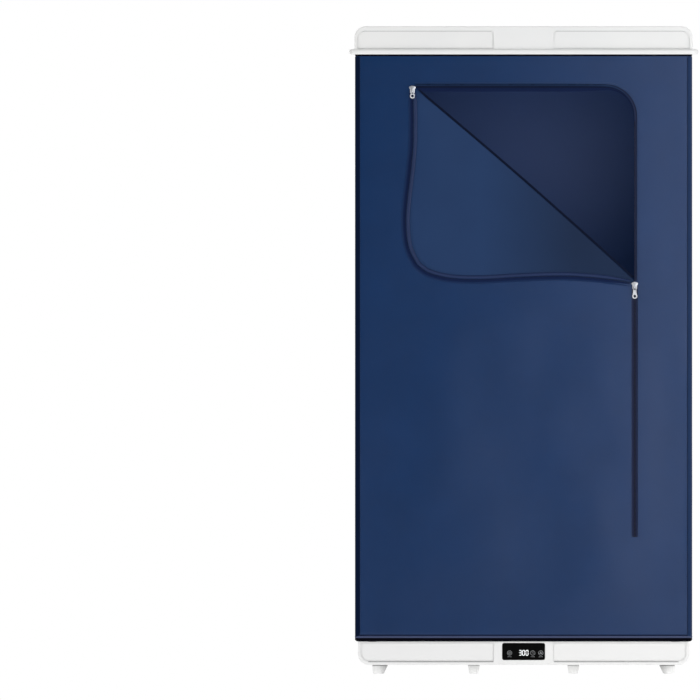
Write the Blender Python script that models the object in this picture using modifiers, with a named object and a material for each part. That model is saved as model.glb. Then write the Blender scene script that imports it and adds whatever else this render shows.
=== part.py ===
"""A folding portable clothes dryer, set up, in metres, with +Z up and its front facing -Y.

A low base holds the fan and the heater. Four knee-jointed posts stand on it and carry a domed lid
with a hanging rail, and a cloth cover with a zipped door closes the space between.
"""

import math

import bmesh
import bpy
from mathutils import Matrix, Vector

# Shared clearances and mesh settings
seat_gap = 0.0003
cut_overrun = 0.004
join_depth = 0.001
weld_distance = 0.00001
flat_angle = math.radians(0.1)
corner_steps = 5
round_sides = 20
ring_sides = 36
small_round_sides = 10
eye_steps = 7

# Base tray
foot_height = 0.019
base_width = 0.712
base_depth = 0.430
base_height = 0.050
base_corner_radius = 0.023
shell_wall = 0.003
edge_rounding = 0.0012
panel_inset = 0.0018
panel_rim = 0.0065
panel_corner_rounding = 0.0015
panel_seam_depth = 0.0018
panel_seam_width = 0.0006
base_seam_width = 0.0022
base_panel_band = 0.0075
base_rim_height = 0.003
base_block_width = 0.128

# Deck over the base
deck_drop = 0.0055
deck_thickness = 0.0025
deck_ledge = 0.004
deck_rib_height = 0.008
deck_rib_width = 0.002
deck_rib_inset = 0.095
deck_rib_end_inset = 0.056

# Hot-air outlet in the deck
outlet_radius = 0.088
outlet_flange_width = 0.005
outlet_flange_height = 0.0025
outlet_throat_wall = 0.003
outlet_throat_depth = 0.0035
vane_count = 24
vane_thickness = 0.002
vane_height = 0.004
vane_sweep_degrees = 55
vane_steps = 3
outlet_hub_radius = 0.016
outlet_hub_height = 0.007
outlet_crown_shares = ((0, 0), (0.5, 0.1), (0.85, 0.33), (1, 0.67))
outlet_vane_lift = 0.0006
outlet_hub_lift = 0.0003

# Fan and its motor
motor_radius = 0.025
motor_height = 0.010
motor_collar_radius = 0.006
motor_collar_height = 0.0015
motor_bore_depth = 0.008
shaft_radius = 0.002
wheel_clearance = 0.0012
hub_radius = 0.020
hub_height = 0.0115
hub_cap_inset = 0.003
blade_count = 9
blade_tip_radius = 0.0705
blade_height = 0.010
blade_thickness = 0.0014
blade_root_sweep_degrees = 34
blade_tip_sweep_degrees = 26
blade_rake_degrees = 12
blade_radial_steps = 4
blade_chord_steps = 2
shroud_bore_radius = 0.0725
shroud_wall = 0.0025
shroud_height = 0.025
shroud_foot_width = 0.006
shroud_foot_height = 0.002
intake_slot_count = 24
intake_inner_radius = 0.034
intake_outer_radius = 0.068
intake_slot_width = 0.0045

# Heater over the fan
heater_frame_radius = 0.080
heater_frame_height = 0.0097
heater_window_length = 0.105
heater_window_width = 0.055
heater_ledge = 0.002
heater_ledge_height = 0.001
heater_core_height = 0.008
heater_rail = 0.004
heater_fin = 0.0009
heater_rows = 2
heater_row_cells = 17
heater_ear_length = 0.034
heater_ear_width = 0.026
heater_ear_height = 0.004
heater_ear_lap = 0.011
heater_ear_lift = 0.0003
cutout_reach = 0.011
cutout_radius = 0.0065
cutout_height = 0.004
cutout_tab_length = 0.016
cutout_tab_width = 0.004
cutout_tab_height = 0.0008

# Display in the front block
lens_width = 0.092
lens_height = 0.0365
lens_thickness = 0.002
lens_corner_radius = 0.0043
lens_centre_height = 0.0287
window_width = 0.084
window_height = 0.024
display_board_width = 0.088
display_board_height = 0.0285
board_thickness = 0.0016
digit_block_width = 0.030
digit_block_height = 0.018

# Supply board on the base floor
power_board_length = 0.095
power_board_width = 0.060
power_board_end_inset = 0.0935
power_board_side_inset = 0.100
board_boss_radius = 0.0035
board_boss_height = 0.005
board_boss_inset = 0.006
transformer_size = (0.024, 0.020, 0.018)
relay_size = (0.016, 0.012, 0.014)
capacitor_radius = 0.006
capacitor_height = 0.018
board_block_shares = (-0.24, 0.08)
capacitor_shares = (0.26, 0.42)

# Mains inlet in the rear block
inlet_flange_width = 0.030
inlet_flange_height = 0.022
inlet_flange_thickness = 0.002
inlet_body_width = 0.024
inlet_body_height = 0.016
inlet_body_depth = 0.016
inlet_pocket_depth = 0.011
inlet_pin_radius = 0.0013
inlet_pin_spacing = 0.0086
inlet_pocket_height = 0.0078

# Feet
corner_foot_inset = 0.044
middle_foot_spacing = 0.214
foot_inset = 0.035
middle_foot_top_radius = 0.013
middle_foot_bottom_radius = 0.0095
corner_foot_top_radius = 0.0135
corner_foot_bottom_radius = 0.0115
corner_foot_gusset = 0.007
foot_edge_rounding = 0.0012

# Lid
chamber_height = 1.262
closed_gap = 0.0003
flange_overhang = 0.012
flange_front_overhang = 0.006
flange_height = 0.012
flange_plan_radius = 0.018
flange_edge_rounding = 0.004
flange_lip = 0.003
flange_recess = 0.0085
dome_side_step = 0.0075
dome_front_step = 0.009
dome_rise = 0.049
dome_corner_radius = 0.024
dome_edge_rounding = 0.002
dome_root = 0.004
lid_block_width = 0.130
lid_panel_top_band = 0.010
lid_panel_bottom_band = 0.001
lid_ramp = 0.005

# Clamp ring under the lid's flange
clamp_ring_thickness = 0.003
clamp_ring_side_band = 0.0225
clamp_ring_plan_radius = 0.012

# Hanging rail
rail_radius = 0.011
rail_wall = 0.0012
rail_end_inset = 0.056
rail_drop = 0.037
rail_socket_radius = 0.0145
rail_socket_length = 0.012
rail_socket_cap = 0.003
rail_plate_length = 0.036
rail_plate_width = 0.030
rail_plate_thickness = 0.003
rail_web_thickness = 0.008

# Folding posts
post_end_inset = 0.030
outer_post_inset = 0.030
inner_post_inset = 0.060
tube_radius = 0.008
tube_wall = 0.001
tube_past_pin = 0.006
base_pin_rise = 0.0145
knee_offset = 0.016
knee_eye_radius = 0.0055
knee_sleeve_radius = 0.010
knee_sleeve_length = 0.045
knee_cap = 0.003
knee_web_length = 0.040
knee_lug_half_width = 0.004
knee_cheek_thickness = 0.004
knee_step = 0.0015
knee_eye_end_degrees = -45
pin_radius = 0.003
pin_play = 0.0003
pin_head_radius = 0.0045
pin_head_height = 0.0013

# Brackets at the posts' ends
bracket_plate_length = 0.024
bracket_plate_thickness = 0.003
bracket_cheek_gap = 0.0005
bracket_cheek_thickness = 0.0025
bracket_eye_radius = 0.0075
bracket_edge = 0.0015
bracket_eye_wrap_degrees = 20

# Cloth cover
cover_step = 0.0045
cover_plan_radius = 0.006
cloth_thickness = 0.002
hem_width = 0.008
hem_height = 0.008
hem_proud = 0.0004
hem_turn = 0.0005
piping_radius = 0.0035
piping_sides = 10

# Door in the cover's front
door_left_inset = 0.1275
door_right_inset = 0.1225
door_drop = 0.0749
door_height = 0.416
door_corner_radius = 0.062
door_corner_steps = 8
fold_sag_share = 0.012
fold_steps = 6
flap_roll_radius = 0.0032
flap_steps = 2
flap_rows = 4
flap_crown = 0.003
flap_edge_shares = (
    (0.010, 0.940),
    (-0.002, 0.760),
    (-0.016, 0.560),
    (-0.036, 0.380),
    (-0.036, 0.262),
    (-0.010, 0.148),
    (0.036, 0.066),
    (0.114, 0.024),
    (0.219, 0.011),
    (0.351, 0.011),
    (0.556, 0.034),
    (0.766, 0.029),
    (0.880, 0.012),
    (0.975, 0.000),
)

# Zip tape, sliders and pulls
zip_thickness = 0.0014
zip_band_width = 0.008
zip_closed_width = 0.013
zip_closed_length = 0.5296
zip_start_overhang = 0.012
zip_shoulder = 0.019
zip_slope = 0.008
slider_plate_thickness = 0.0022
slider_length = 0.015
slider_head_width = 0.014
slider_tail_width = 0.010
slider_crown_radius = 0.011
slider_tail_share = 0.55
slider_neck_share = 0.30
side_slider_drop = 0.0024
side_slider_out = 0.001
top_slider_rise = 0.0032
top_slider_out = 0.006
bridge_width = 0.0024
bridge_strap = 0.001
bridge_space = 0.0019
bridge_length = 0.0075
bridge_tail = 0.003
pull_thickness = 0.001
pull_width = 0.0076
pull_corner_radius = 0.002
pull_end_radius = 0.0056
pull_end_wrap = 30
pull_flare_share = 0.45
pull_window_width = 0.0044
pull_window_length = 0.0055
pull_bar = 0.001
pull_hole_radius = 0.0023
side_pull_length = 0.0255
top_pull_length = 0.0165
pull_bar_height = 0.0040

# Places that follow from the sizes above
dome_width = base_width + dome_side_step * 2
dome_depth = base_depth + dome_front_step * 2
flange_width = dome_width + flange_overhang * 2
flange_depth = dome_depth + flange_front_overhang * 2
cover_width = base_width + cover_step * 2
cover_depth = base_depth + cover_step * 2
post_x = base_width / 2 - post_end_inset
outer_post_y = base_depth / 2 - outer_post_inset
inner_post_y = base_depth / 2 - inner_post_inset
rail_half_length = base_width / 2 - rail_end_inset
corner_foot_x = base_width / 2 - corner_foot_inset
middle_foot_x = middle_foot_spacing / 2
foot_y = base_depth / 2 - foot_inset
power_board_x = -base_width / 2 + power_board_end_inset + power_board_length / 2
power_board_y = base_depth / 2 - power_board_side_inset - power_board_width / 2
base_bottom = foot_height
base_top = base_bottom + base_height
floor_top = base_bottom + shell_wall
deck_top = base_top - deck_drop
deck_bottom = deck_top - deck_thickness
ledge_top = deck_bottom - seat_gap
cavity_half_depth = base_depth / 2 - shell_wall - panel_inset
flange_bottom = base_top + chamber_height
flange_top = flange_bottom + flange_height
lid_top = flange_top + dome_rise
ceiling = lid_top - shell_wall
lid_travel = chamber_height - closed_gap
link_length = lid_travel / 2 + knee_offset
base_pin_z = deck_top + base_pin_rise
knee_z = base_pin_z + link_length
lid_pin_z = knee_z + link_length
flange_ledge = flange_bottom + flange_recess
clamp_ring_top = flange_ledge - seat_gap
clamp_ring_bottom = clamp_ring_top - clamp_ring_thickness
cover_bottom = base_top + seat_gap
cover_top = clamp_ring_bottom - seat_gap
cover_front = -cover_depth / 2
front_layer = cover_front - seat_gap
door_left = -cover_width / 2 + door_left_inset
door_right = cover_width / 2 - door_right_inset
door_top = cover_top - door_drop
door_bottom = door_top - door_height
side_slider_x = door_right + side_slider_out
side_slider_top = door_bottom - side_slider_drop
top_slider_x = door_left - top_slider_out
top_slider_top = door_top + top_slider_rise
zip_end_height = side_slider_top - zip_shoulder - zip_closed_length
shroud_bottom = floor_top + seat_gap
shroud_top = shroud_bottom + shroud_height
motor_bottom = floor_top + seat_gap
motor_top = motor_bottom + motor_height
wheel_bottom = motor_top + motor_collar_height + wheel_clearance
heater_bottom = shroud_top + seat_gap
rail_z = ceiling - rail_drop

plane_turns = {
    "plan": (0, 0, 0),
    "front": (math.pi / 2, 0, 0),
    "side": (math.pi / 2, 0, math.pi / 2),
}

white_abs = ((0.86, 0.86, 0.85), 0.38, 0.0)
black_gloss = ((0.004, 0.004, 0.005), 0.08, 0.0)
navy_cloth = ((0.020, 0.038, 0.105), 0.85, 0.0)
dark_tape = ((0.006, 0.010, 0.032), 0.80, 0.0)
slider_metal = ((0.72, 0.72, 0.73), 0.25, 1.0)
tube_steel = ((0.60, 0.61, 0.62), 0.30, 1.0)
nylon_grey = ((0.16, 0.17, 0.18), 0.55, 0.0)
bracket_steel = ((0.50, 0.51, 0.52), 0.40, 1.0)
board_green = ((0.02, 0.12, 0.05), 0.50, 0.0)
fan_black = ((0.02, 0.02, 0.022), 0.50, 0.0)
fin_aluminium = ((0.65, 0.65, 0.66), 0.35, 1.0)

for old_object in list(bpy.data.objects):
    bpy.data.objects.remove(old_object, do_unlink=True)

dryer = bpy.data.collections.new("portable_clothes_dryer")
bpy.context.scene.collection.children.link(dryer)
cutters = bpy.data.collections.new("cutters")
bpy.context.scene.collection.children.link(cutters)


# Outlines

def arc_points(centre_u, centre_v, radius, start_degrees, end_degrees, steps):
    """Points along an arc in the outline's own plane, with both ends."""
    points = []
    for step in range(steps + 1):
        angle = math.radians(start_degrees + (end_degrees - start_degrees) * step / steps)
        points.append((centre_u + radius * math.cos(angle), centre_v + radius * math.sin(angle)))
    return points


def rounded_outline(low_u, high_u, low_v, high_v, radii, steps=corner_steps):
    """A rectangle with its own radius at each corner: low-low, high-low, high-high, low-high."""
    corners = (
        (low_u, low_v, 1, 1, 180),
        (high_u, low_v, -1, 1, 270),
        (high_u, high_v, -1, -1, 0),
        (low_u, high_v, 1, -1, 90),
    )
    points = []
    for (u, v, way_u, way_v, start), radius in zip(corners, radii):
        if radius > 0:
            points += arc_points(u + way_u * radius, v + way_v * radius, radius, start, start + 90, steps)
        else:
            points.append((u, v))
    return points


def even_outline(width, height, radius, steps=corner_steps):
    """A centred rectangle with four alike round corners."""
    return rounded_outline(-width / 2, width / 2, -height / 2, height / 2, (radius,) * 4, steps)


def circle_outline(radius, sides):
    """A circle about the outline's origin."""
    return arc_points(0, 0, radius, 0, 360, sides)[:-1]


def smooth_points(points, steps):
    """A smooth curve through the given points, each stretch in the given number of steps."""
    curve = []
    last = len(points) - 1
    for index in range(last):
        before = Vector(points[max(index - 1, 0)])
        start = Vector(points[index])
        end = Vector(points[index + 1])
        after = Vector(points[min(index + 2, last)])
        for step in range(steps):
            t = step / steps
            bend = (2 * start - 2 * end + (end - before) / 2 + (after - start) / 2) * t ** 3
            lean = (3 * end - 3 * start - (end - before) - (after - start) / 2) * t ** 2
            curve.append(tuple(start + (end - before) / 2 * t + lean + bend))
    curve.append(tuple(points[last]))
    return curve


# Solids

def keep(piece, home):
    """Put a new object in its collection; cutters are drawn as wire and never rendered."""
    home.objects.link(piece)
    if home is cutters:
        piece.hide_render = True
        piece.display_type = "WIRE"
    return piece


def prism(name, outlines, thickness, centre=(0, 0, 0), plane="plan", home=cutters):
    """Flat outlines, with holes where one lies in another, given a thickness about their centre."""
    flat = bpy.data.curves.new(name, "CURVE")
    flat.dimensions = "2D"
    flat.fill_mode = "BOTH"
    flat.extrude = thickness / 2
    for outline in outlines:
        spline = flat.splines.new("POLY")
        spline.points.add(len(outline) - 1)
        for point, (u, v) in zip(spline.points, outline):
            point.co = (u, v, 0, 1)
        spline.use_cyclic_u = True
    drawn = keep(bpy.data.objects.new(name + "_drawn", flat), cutters)
    mesh = bpy.data.meshes.new_from_object(drawn.evaluated_get(bpy.context.evaluated_depsgraph_get()))
    bpy.data.objects.remove(drawn, do_unlink=True)
    shape = bmesh.new()
    shape.from_mesh(mesh)
    bmesh.ops.remove_doubles(shape, verts=shape.verts, dist=weld_distance)
    bmesh.ops.recalc_face_normals(shape, faces=shape.faces)
    bmesh.ops.dissolve_limit(shape, angle_limit=flat_angle, verts=shape.verts, edges=shape.edges)
    turn = Matrix.Rotation(plane_turns[plane][2], 4, "Z") @ Matrix.Rotation(plane_turns[plane][0], 4, "X")
    shape.transform(Matrix.Translation(centre) @ turn)
    shape.to_mesh(mesh)
    shape.free()
    mesh.name = name
    mesh.materials.clear()
    return keep(bpy.data.objects.new(name, mesh), home)


def from_bmesh(name, shape, home):
    """An object from a finished bmesh."""
    mesh = bpy.data.meshes.new(name)
    shape.to_mesh(mesh)
    shape.free()
    return keep(bpy.data.objects.new(name, mesh), home)


def box(name, low, high, home=cutters):
    """A box between two corners, from the cube primitive."""
    shape = bmesh.new()
    size = [far - near for near, far in zip(low, high)]
    middle = [(far + near) / 2 for near, far in zip(low, high)]
    placed = Matrix.Translation(middle) @ Matrix.Diagonal((*size, 1))
    bmesh.ops.create_cube(shape, size=1, matrix=placed)
    return from_bmesh(name, shape, home)


def rod(name, radius, start, end, sides=round_sides, end_radius=None, home=cutters):
    """A round bar, or a cone, between two points."""
    shape = bmesh.new()
    reach = Vector(end) - Vector(start)
    turn = Vector((0, 0, 1)).rotation_difference(reach).to_matrix().to_4x4()
    placed = Matrix.Translation((Vector(start) + Vector(end)) / 2) @ turn
    bmesh.ops.create_cone(
        shape,
        cap_ends=True,
        segments=sides,
        radius1=radius,
        radius2=radius if end_radius is None else end_radius,
        depth=reach.length,
        matrix=placed,
    )
    return from_bmesh(name, shape, home)


def turned(name, profile, centre=(0, 0, 0), along="Z", sides=round_sides, closed=False, home=cutters):
    """A turned piece: the profile of (radius, height) points runs down its outer side."""
    shape = bmesh.new()
    points = [shape.verts.new((radius, 0, height)) for radius, height in profile]
    for start, end in zip(points, points[1:]):
        shape.edges.new((start, end))
    if closed:
        shape.edges.new((points[-1], points[0]))
    piece = from_bmesh(name, shape, home)
    lathe = piece.modifiers.new("lathe", "SCREW")
    lathe.axis = "Z"
    lathe.steps = sides
    lathe.render_steps = sides
    lathe.use_merge_vertices = True
    lathe.merge_threshold = weld_distance
    piece.location = centre
    if along == "Y":
        piece.rotation_euler = (math.pi / 2, 0, 0)
    return piece


def combine(piece, other, operation):
    """Cut the other solid from the piece, or join it to the piece."""
    step = piece.modifiers.new(operation.lower() + "_" + other.name, "BOOLEAN")
    step.operation = operation
    step.solver = "EXACT"
    step.object = other
    return piece


def cut(piece, other):
    return combine(piece, other, "DIFFERENCE")


def join(piece, other):
    return combine(piece, other, "UNION")


def round_edges(piece, width, segments=2, degrees=50):
    """Round the edges that are sharper than the given angle."""
    rounding = piece.modifiers.new("rounding", "BEVEL")
    rounding.width = width
    rounding.segments = segments
    rounding.limit_method = "ANGLE"
    rounding.angle_limit = math.radians(degrees)
    return piece


def finish(piece, look):
    """Give the piece its own material and smooth shading with its sharp edges kept."""
    colour, roughness, metallic = look
    coat = bpy.data.materials.new(piece.name + "_finish")
    coat.use_nodes = True
    shader = coat.node_tree.nodes["Principled BSDF"]
    shader.inputs["Base Color"].default_value = (*colour, 1)
    shader.inputs["Roughness"].default_value = roughness
    shader.inputs["Metallic"].default_value = metallic
    coat.diffuse_color = (*colour, 1)
    piece.data.materials.append(coat)
    piece.data.shade_smooth()
    return piece


def hinge_point(name):
    """An empty on a joint's axis, which the moving pieces hang from."""
    return keep(bpy.data.objects.new(name, None), dryer)


def carry(piece, hinge, place):
    """Hang a finished piece on the empty at the given place without moving it."""
    if piece.parent is None:
        piece.parent = hinge
        piece.location = Vector(piece.location) - Vector(place)
        hinge.location = place
    return piece


# Base

def drawn_in(outline, side_gap, low_gap, high_gap):
    """An outline drawn in from its own bounds."""
    low_u, high_u = min(u for u, v in outline), max(u for u, v in outline)
    low_v, high_v = min(v for u, v in outline), max(v for u, v in outline)
    width_left = 1 - side_gap * 2 / (high_u - low_u)
    height_left = 1 - (low_gap + high_gap) / (high_v - low_v)
    return [
        (low_u + side_gap + (u - low_u) * width_left, low_v + low_gap + (v - low_v) * height_left)
        for u, v in outline
    ]


def front_panels(
    name, half_width, block_half_width, low, high, half_depth, outer_radii, low_seam_width, ramp=0
):
    """Cutters for the inset panels beside the centre block and their seams, on the front and back."""
    inner = block_half_width
    outer = half_width - panel_rim
    bottom_radius, top_radius = outer_radii
    right = rounded_outline(
        inner, outer, low, high, (panel_corner_rounding, bottom_radius, top_radius, 0)
    )
    if ramp:
        right = right[:-1] + [(inner + ramp, high), (inner, high - ramp)]
    field = drawn_in(right, panel_seam_width, low_seam_width, panel_seam_width)
    panels = [right, [(-u, v) for u, v in right]]
    fields = [field, [(-u, v) for u, v in field]]
    pieces = []
    for label, side in (("front", -1), ("back", 1)):
        place = (0, side * half_depth, 0)
        pieces.append(prism(f"{name}_{label}", panels, panel_inset * 2, place, "front"))
        seam_depth = panel_inset + panel_seam_depth
        pieces.append(prism(f"{name}_seam_{label}", panels + fields, seam_depth * 2, place, "front"))
    return pieces


def make_base_shell():
    """The white base tray, with panels, ledge, intake, display window and inlet cut-out."""
    shell = prism(
        "base_shell",
        [rounded_outline(-base_width / 2, base_width / 2, base_bottom, base_top,
                         (base_corner_radius, base_corner_radius, 0, 0), corner_steps + 2)],
        base_depth,
        plane="front",
        home=dryer,
    )
    round_edges(shell, edge_rounding)
    well_half = base_width / 2 - shell_wall - deck_ledge
    well_radius = base_corner_radius - shell_wall - deck_ledge / 2
    well = prism(
        "base_well",
        [rounded_outline(-well_half, well_half, floor_top, ledge_top + join_depth,
                         (well_radius, well_radius, 0, 0))],
        (cavity_half_depth - deck_ledge) * 2,
        plane="front",
    )
    cut(shell, well)
    seat_half = base_width / 2 - shell_wall
    seat = box(
        "deck_seat",
        (-seat_half, -cavity_half_depth, ledge_top),
        (seat_half, cavity_half_depth, base_top + cut_overrun),
    )
    cut(shell, seat)
    panel_radius = base_corner_radius - panel_rim
    for panel in front_panels(
        "base_panels",
        base_width / 2,
        base_block_width / 2,
        base_bottom + base_panel_band,
        base_top - base_rim_height,
        base_depth / 2,
        (panel_radius, panel_corner_rounding),
        base_seam_width,
    ):
        cut(shell, panel)
    lens_z = base_bottom + lens_centre_height
    pocket_depth = lens_thickness + seat_gap
    pocket = prism(
        "lens_pocket",
        [even_outline(lens_width + seat_gap * 2, lens_height + seat_gap * 2, lens_corner_radius)],
        pocket_depth * 2,
        (0, -base_depth / 2, lens_z),
        "front",
    )
    cut(shell, pocket)
    window = box(
        "display_window",
        (-window_width / 2, -base_depth / 2, lens_z - window_height / 2),
        (window_width / 2, -cavity_half_depth + deck_ledge + cut_overrun, lens_z + window_height / 2),
    )
    cut(shell, window)
    inlet_z = (base_bottom + base_top) / 2
    cut(shell, prism(
        "inlet_recess",
        [even_outline(inlet_flange_width + seat_gap * 2, inlet_flange_height + seat_gap * 2,
                      panel_corner_rounding)],
        (inlet_flange_thickness + seat_gap) * 2,
        (0, base_depth / 2, inlet_z),
        "front",
    ))
    cut(shell, box(
        "inlet_hole",
        (-inlet_body_width / 2 - seat_gap, cavity_half_depth - deck_ledge - cut_overrun,
         inlet_z - inlet_body_height / 2 - seat_gap),
        (inlet_body_width / 2 + seat_gap, base_depth / 2, inlet_z + inlet_body_height / 2 + seat_gap),
    ))
    slots = []
    for index in range(intake_slot_count):
        angle = 2 * math.pi * index / intake_slot_count
        outward = Vector((math.cos(angle), math.sin(angle)))
        across = Vector((-outward.y, outward.x)) * intake_slot_width / 2
        near = outward * intake_inner_radius
        far = outward * intake_outer_radius
        slots.append([near - across, far - across, far + across, near + across])
    cut(shell, prism("intake_slots", slots, shell_wall + cut_overrun * 2, (0, 0, base_bottom)))
    for index, (x, y) in enumerate(board_boss_places()):
        join(shell, rod(
            f"board_boss_{index}",
            board_boss_radius,
            (x, y, floor_top - join_depth),
            (x, y, floor_top + board_boss_height),
            small_round_sides,
        ))
    return finish(shell, white_abs)


def board_boss_places():
    """The four bosses under the corners of the supply board."""
    reach_x = power_board_length / 2 - board_boss_inset
    reach_y = power_board_width / 2 - board_boss_inset
    return [(power_board_x + side * reach_x, power_board_y + end * reach_y)
            for side in (-1, 1) for end in (-1, 1)]


def make_deck_panel():
    """The base's top deck, with the round hole of the hot-air outlet and two stiffening ribs."""
    half_width = base_width / 2 - shell_wall - seat_gap
    half_depth = cavity_half_depth - seat_gap
    deck = prism(
        "deck_panel",
        [even_outline(half_width * 2, half_depth * 2, panel_corner_rounding, 1),
         circle_outline(outlet_radius, ring_sides)],
        deck_thickness,
        (0, 0, deck_top - deck_thickness / 2),
        home=dryer,
    )
    rib_end = base_width / 2 - deck_rib_end_inset
    for index, side in enumerate((-1, 1)):
        y = side * (base_depth / 2 - deck_rib_inset)
        join(deck, box(
            f"deck_rib_{index}",
            (-rib_end, y - deck_rib_width / 2, deck_bottom - deck_rib_height),
            (rib_end, y + deck_rib_width / 2, deck_bottom + join_depth),
        ))
    return finish(deck, white_abs)


def vane_outline(start_degrees, inner_radius, outer_radius):
    """One swept vane, seen from above."""
    middle = []
    for step in range(vane_steps + 1):
        share = step / vane_steps
        angle = math.radians(start_degrees + vane_sweep_degrees * share)
        radius = inner_radius + (outer_radius - inner_radius) * share
        middle.append(Vector((radius * math.cos(angle), radius * math.sin(angle))))
    left, right = [], []
    for index, point in enumerate(middle):
        along = (middle[min(index + 1, vane_steps)] - middle[max(index - 1, 0)]).normalized()
        across = Vector((-along.y, along.x)) * vane_thickness / 2
        left.append(tuple(point + across))
        right.append(tuple(point - across))
    return left + right[::-1]


def make_outlet_grille():
    """The hot-air outlet: a flanged ring, a domed hub and swept vanes between them."""
    throat_outer = outlet_radius - seat_gap
    throat_inner = throat_outer - outlet_throat_wall
    flange_base = deck_top + seat_gap
    flange_face = flange_base + outlet_flange_height
    throat_end = deck_bottom - outlet_throat_depth + deck_thickness
    grille = turned(
        "outlet_grille",
        [
            (throat_inner, flange_face),
            (outlet_radius + outlet_flange_width - outlet_flange_height / 2, flange_face),
            (outlet_radius + outlet_flange_width, flange_face - outlet_flange_height / 2),
            (outlet_radius + outlet_flange_width, flange_base),
            (throat_outer, flange_base),
            (throat_outer, throat_end),
            (throat_inner, throat_end),
        ],
        sides=ring_sides,
        closed=True,
        home=dryer,
    )
    vane_base = throat_end + outlet_vane_lift
    step_degrees = 360 / vane_count
    vanes = [
        vane_outline(index * step_degrees, outlet_hub_radius - vane_thickness,
                     (throat_outer + throat_inner) / 2)
        for index in range(vane_count)
    ]
    join(grille, prism("outlet_vanes", vanes, vane_height, (0, 0, vane_base + vane_height / 2)))
    hub_base = throat_end + outlet_hub_lift
    hub_top = hub_base + outlet_hub_height
    crown = [(outlet_hub_radius * out, hub_top - outlet_hub_height * down)
             for out, down in outlet_crown_shares]
    crown += [(outlet_hub_radius, hub_base), (0, hub_base)]
    join(grille, turned("outlet_hub", crown))
    return finish(grille, white_abs)


def make_fan_motor():
    """The flat motor on the base floor, with a bore for the shaft."""
    bore = shaft_radius + pin_play
    collar_top = motor_top + motor_collar_height
    bore_floor = collar_top - motor_bore_depth
    motor = turned(
        "fan_motor",
        [
            (0, bore_floor),
            (bore, bore_floor),
            (bore, collar_top),
            (motor_collar_radius, collar_top),
            (motor_collar_radius, motor_top),
            (motor_radius - edge_rounding, motor_top),
            (motor_radius, motor_top - edge_rounding),
            (motor_radius, motor_bottom),
            (0, motor_bottom),
        ],
        home=dryer,
    )
    return finish(motor, bracket_steel)


def make_motor_shaft():
    """The fan's shaft, from the motor's bore up into the hub."""
    bore_floor = motor_top + motor_collar_height - motor_bore_depth
    shaft = rod(
        "motor_shaft",
        shaft_radius,
        (0, 0, bore_floor + seat_gap),
        (0, 0, wheel_bottom + hub_height - hub_cap_inset),
        small_round_sides,
        home=dryer,
    )
    return finish(shaft, tube_steel)


def blade_point(share_out, share_along):
    """A point of the first blade: it sweeps, leans and climbs from its leading to its trailing edge."""
    root = hub_radius - blade_thickness
    radius = root + (blade_tip_radius - root) * share_out
    span = blade_root_sweep_degrees + (blade_tip_sweep_degrees - blade_root_sweep_degrees) * share_out
    angle = math.radians(span * (share_along * 2 - 1) / 2 + blade_rake_degrees * share_out)
    base = wheel_bottom + (hub_height - blade_height) / 2
    return radius * math.cos(angle), radius * math.sin(angle), base + blade_height * share_along


def make_fan_wheel():
    """The flat fan wheel: a hub cup and twisted blades."""
    bore = shaft_radius + pin_play
    hub_top = wheel_bottom + hub_height
    wheel = turned(
        "fan_wheel",
        [
            (bore, hub_top - hub_cap_inset / 2),
            (hub_radius - hub_cap_inset, hub_top),
            (hub_radius, hub_top - hub_cap_inset / 2),
            (hub_radius, wheel_bottom),
            (bore, wheel_bottom),
        ],
        closed=True,
        home=dryer,
    )
    sheets = bmesh.new()
    for index in range(blade_count):
        sheet = bmesh.new()
        bmesh.ops.create_grid(
            sheet, x_segments=blade_radial_steps, y_segments=blade_chord_steps, size=1
        )
        for corner in sheet.verts:
            corner.co = blade_point((corner.co.x + 1) / 2, (corner.co.y + 1) / 2)
        sheet.transform(Matrix.Rotation(2 * math.pi * index / blade_count, 4, "Z"))
        leaf = bpy.data.meshes.new("blade_leaf")
        sheet.to_mesh(leaf)
        sheet.free()
        sheets.from_mesh(leaf)
        bpy.data.meshes.remove(leaf)
    blades = from_bmesh("fan_blades", sheets, cutters)
    skin = blades.modifiers.new("thickness", "SOLIDIFY")
    skin.thickness = blade_thickness
    skin.offset = 0
    join(wheel, blades)
    return finish(wheel, fan_black)


def make_fan_shroud():
    """The round duct wall around the wheel, with a foot ring on the base floor."""
    outer = shroud_bore_radius + shroud_wall
    foot_outer = outer + shroud_foot_width
    foot_top = shroud_bottom + shroud_foot_height
    shroud = turned(
        "fan_shroud",
        [
            (shroud_bore_radius, shroud_top),
            (outer, shroud_top),
            (outer, foot_top),
            (foot_outer, foot_top),
            (foot_outer, shroud_bottom),
            (shroud_bore_radius, shroud_bottom),
        ],
        sides=ring_sides,
        closed=True,
        home=dryer,
    )
    return finish(shroud, fan_black)


def make_heater_frame():
    """The round carrier over the fan, with a stepped window for the heating element and an ear."""
    frame_top = heater_bottom + heater_frame_height
    frame = rod(
        "heater_frame",
        heater_frame_radius,
        (0, 0, heater_bottom),
        (0, 0, frame_top),
        ring_sides,
        home=dryer,
    )
    ear_near = heater_frame_radius - heater_ear_lap
    join(frame, box(
        "heater_ear",
        (ear_near, -heater_ear_width / 2, heater_bottom + heater_ear_lift),
        (ear_near + heater_ear_length, heater_ear_width / 2, heater_bottom + heater_ear_height),
    ))
    ledge_level = heater_bottom + heater_ledge_height
    cut(frame, box(
        "heater_window",
        (-heater_window_length / 2, -heater_window_width / 2, ledge_level),
        (heater_window_length / 2, heater_window_width / 2, frame_top + cut_overrun),
    ))
    throat_length = heater_window_length / 2 - heater_ledge
    throat_width = heater_window_width / 2 - heater_ledge
    cut(frame, box(
        "heater_throat",
        (-throat_length, -throat_width, heater_bottom - cut_overrun),
        (throat_length, throat_width, ledge_level + join_depth),
    ))
    return finish(frame, fan_black)


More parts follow.
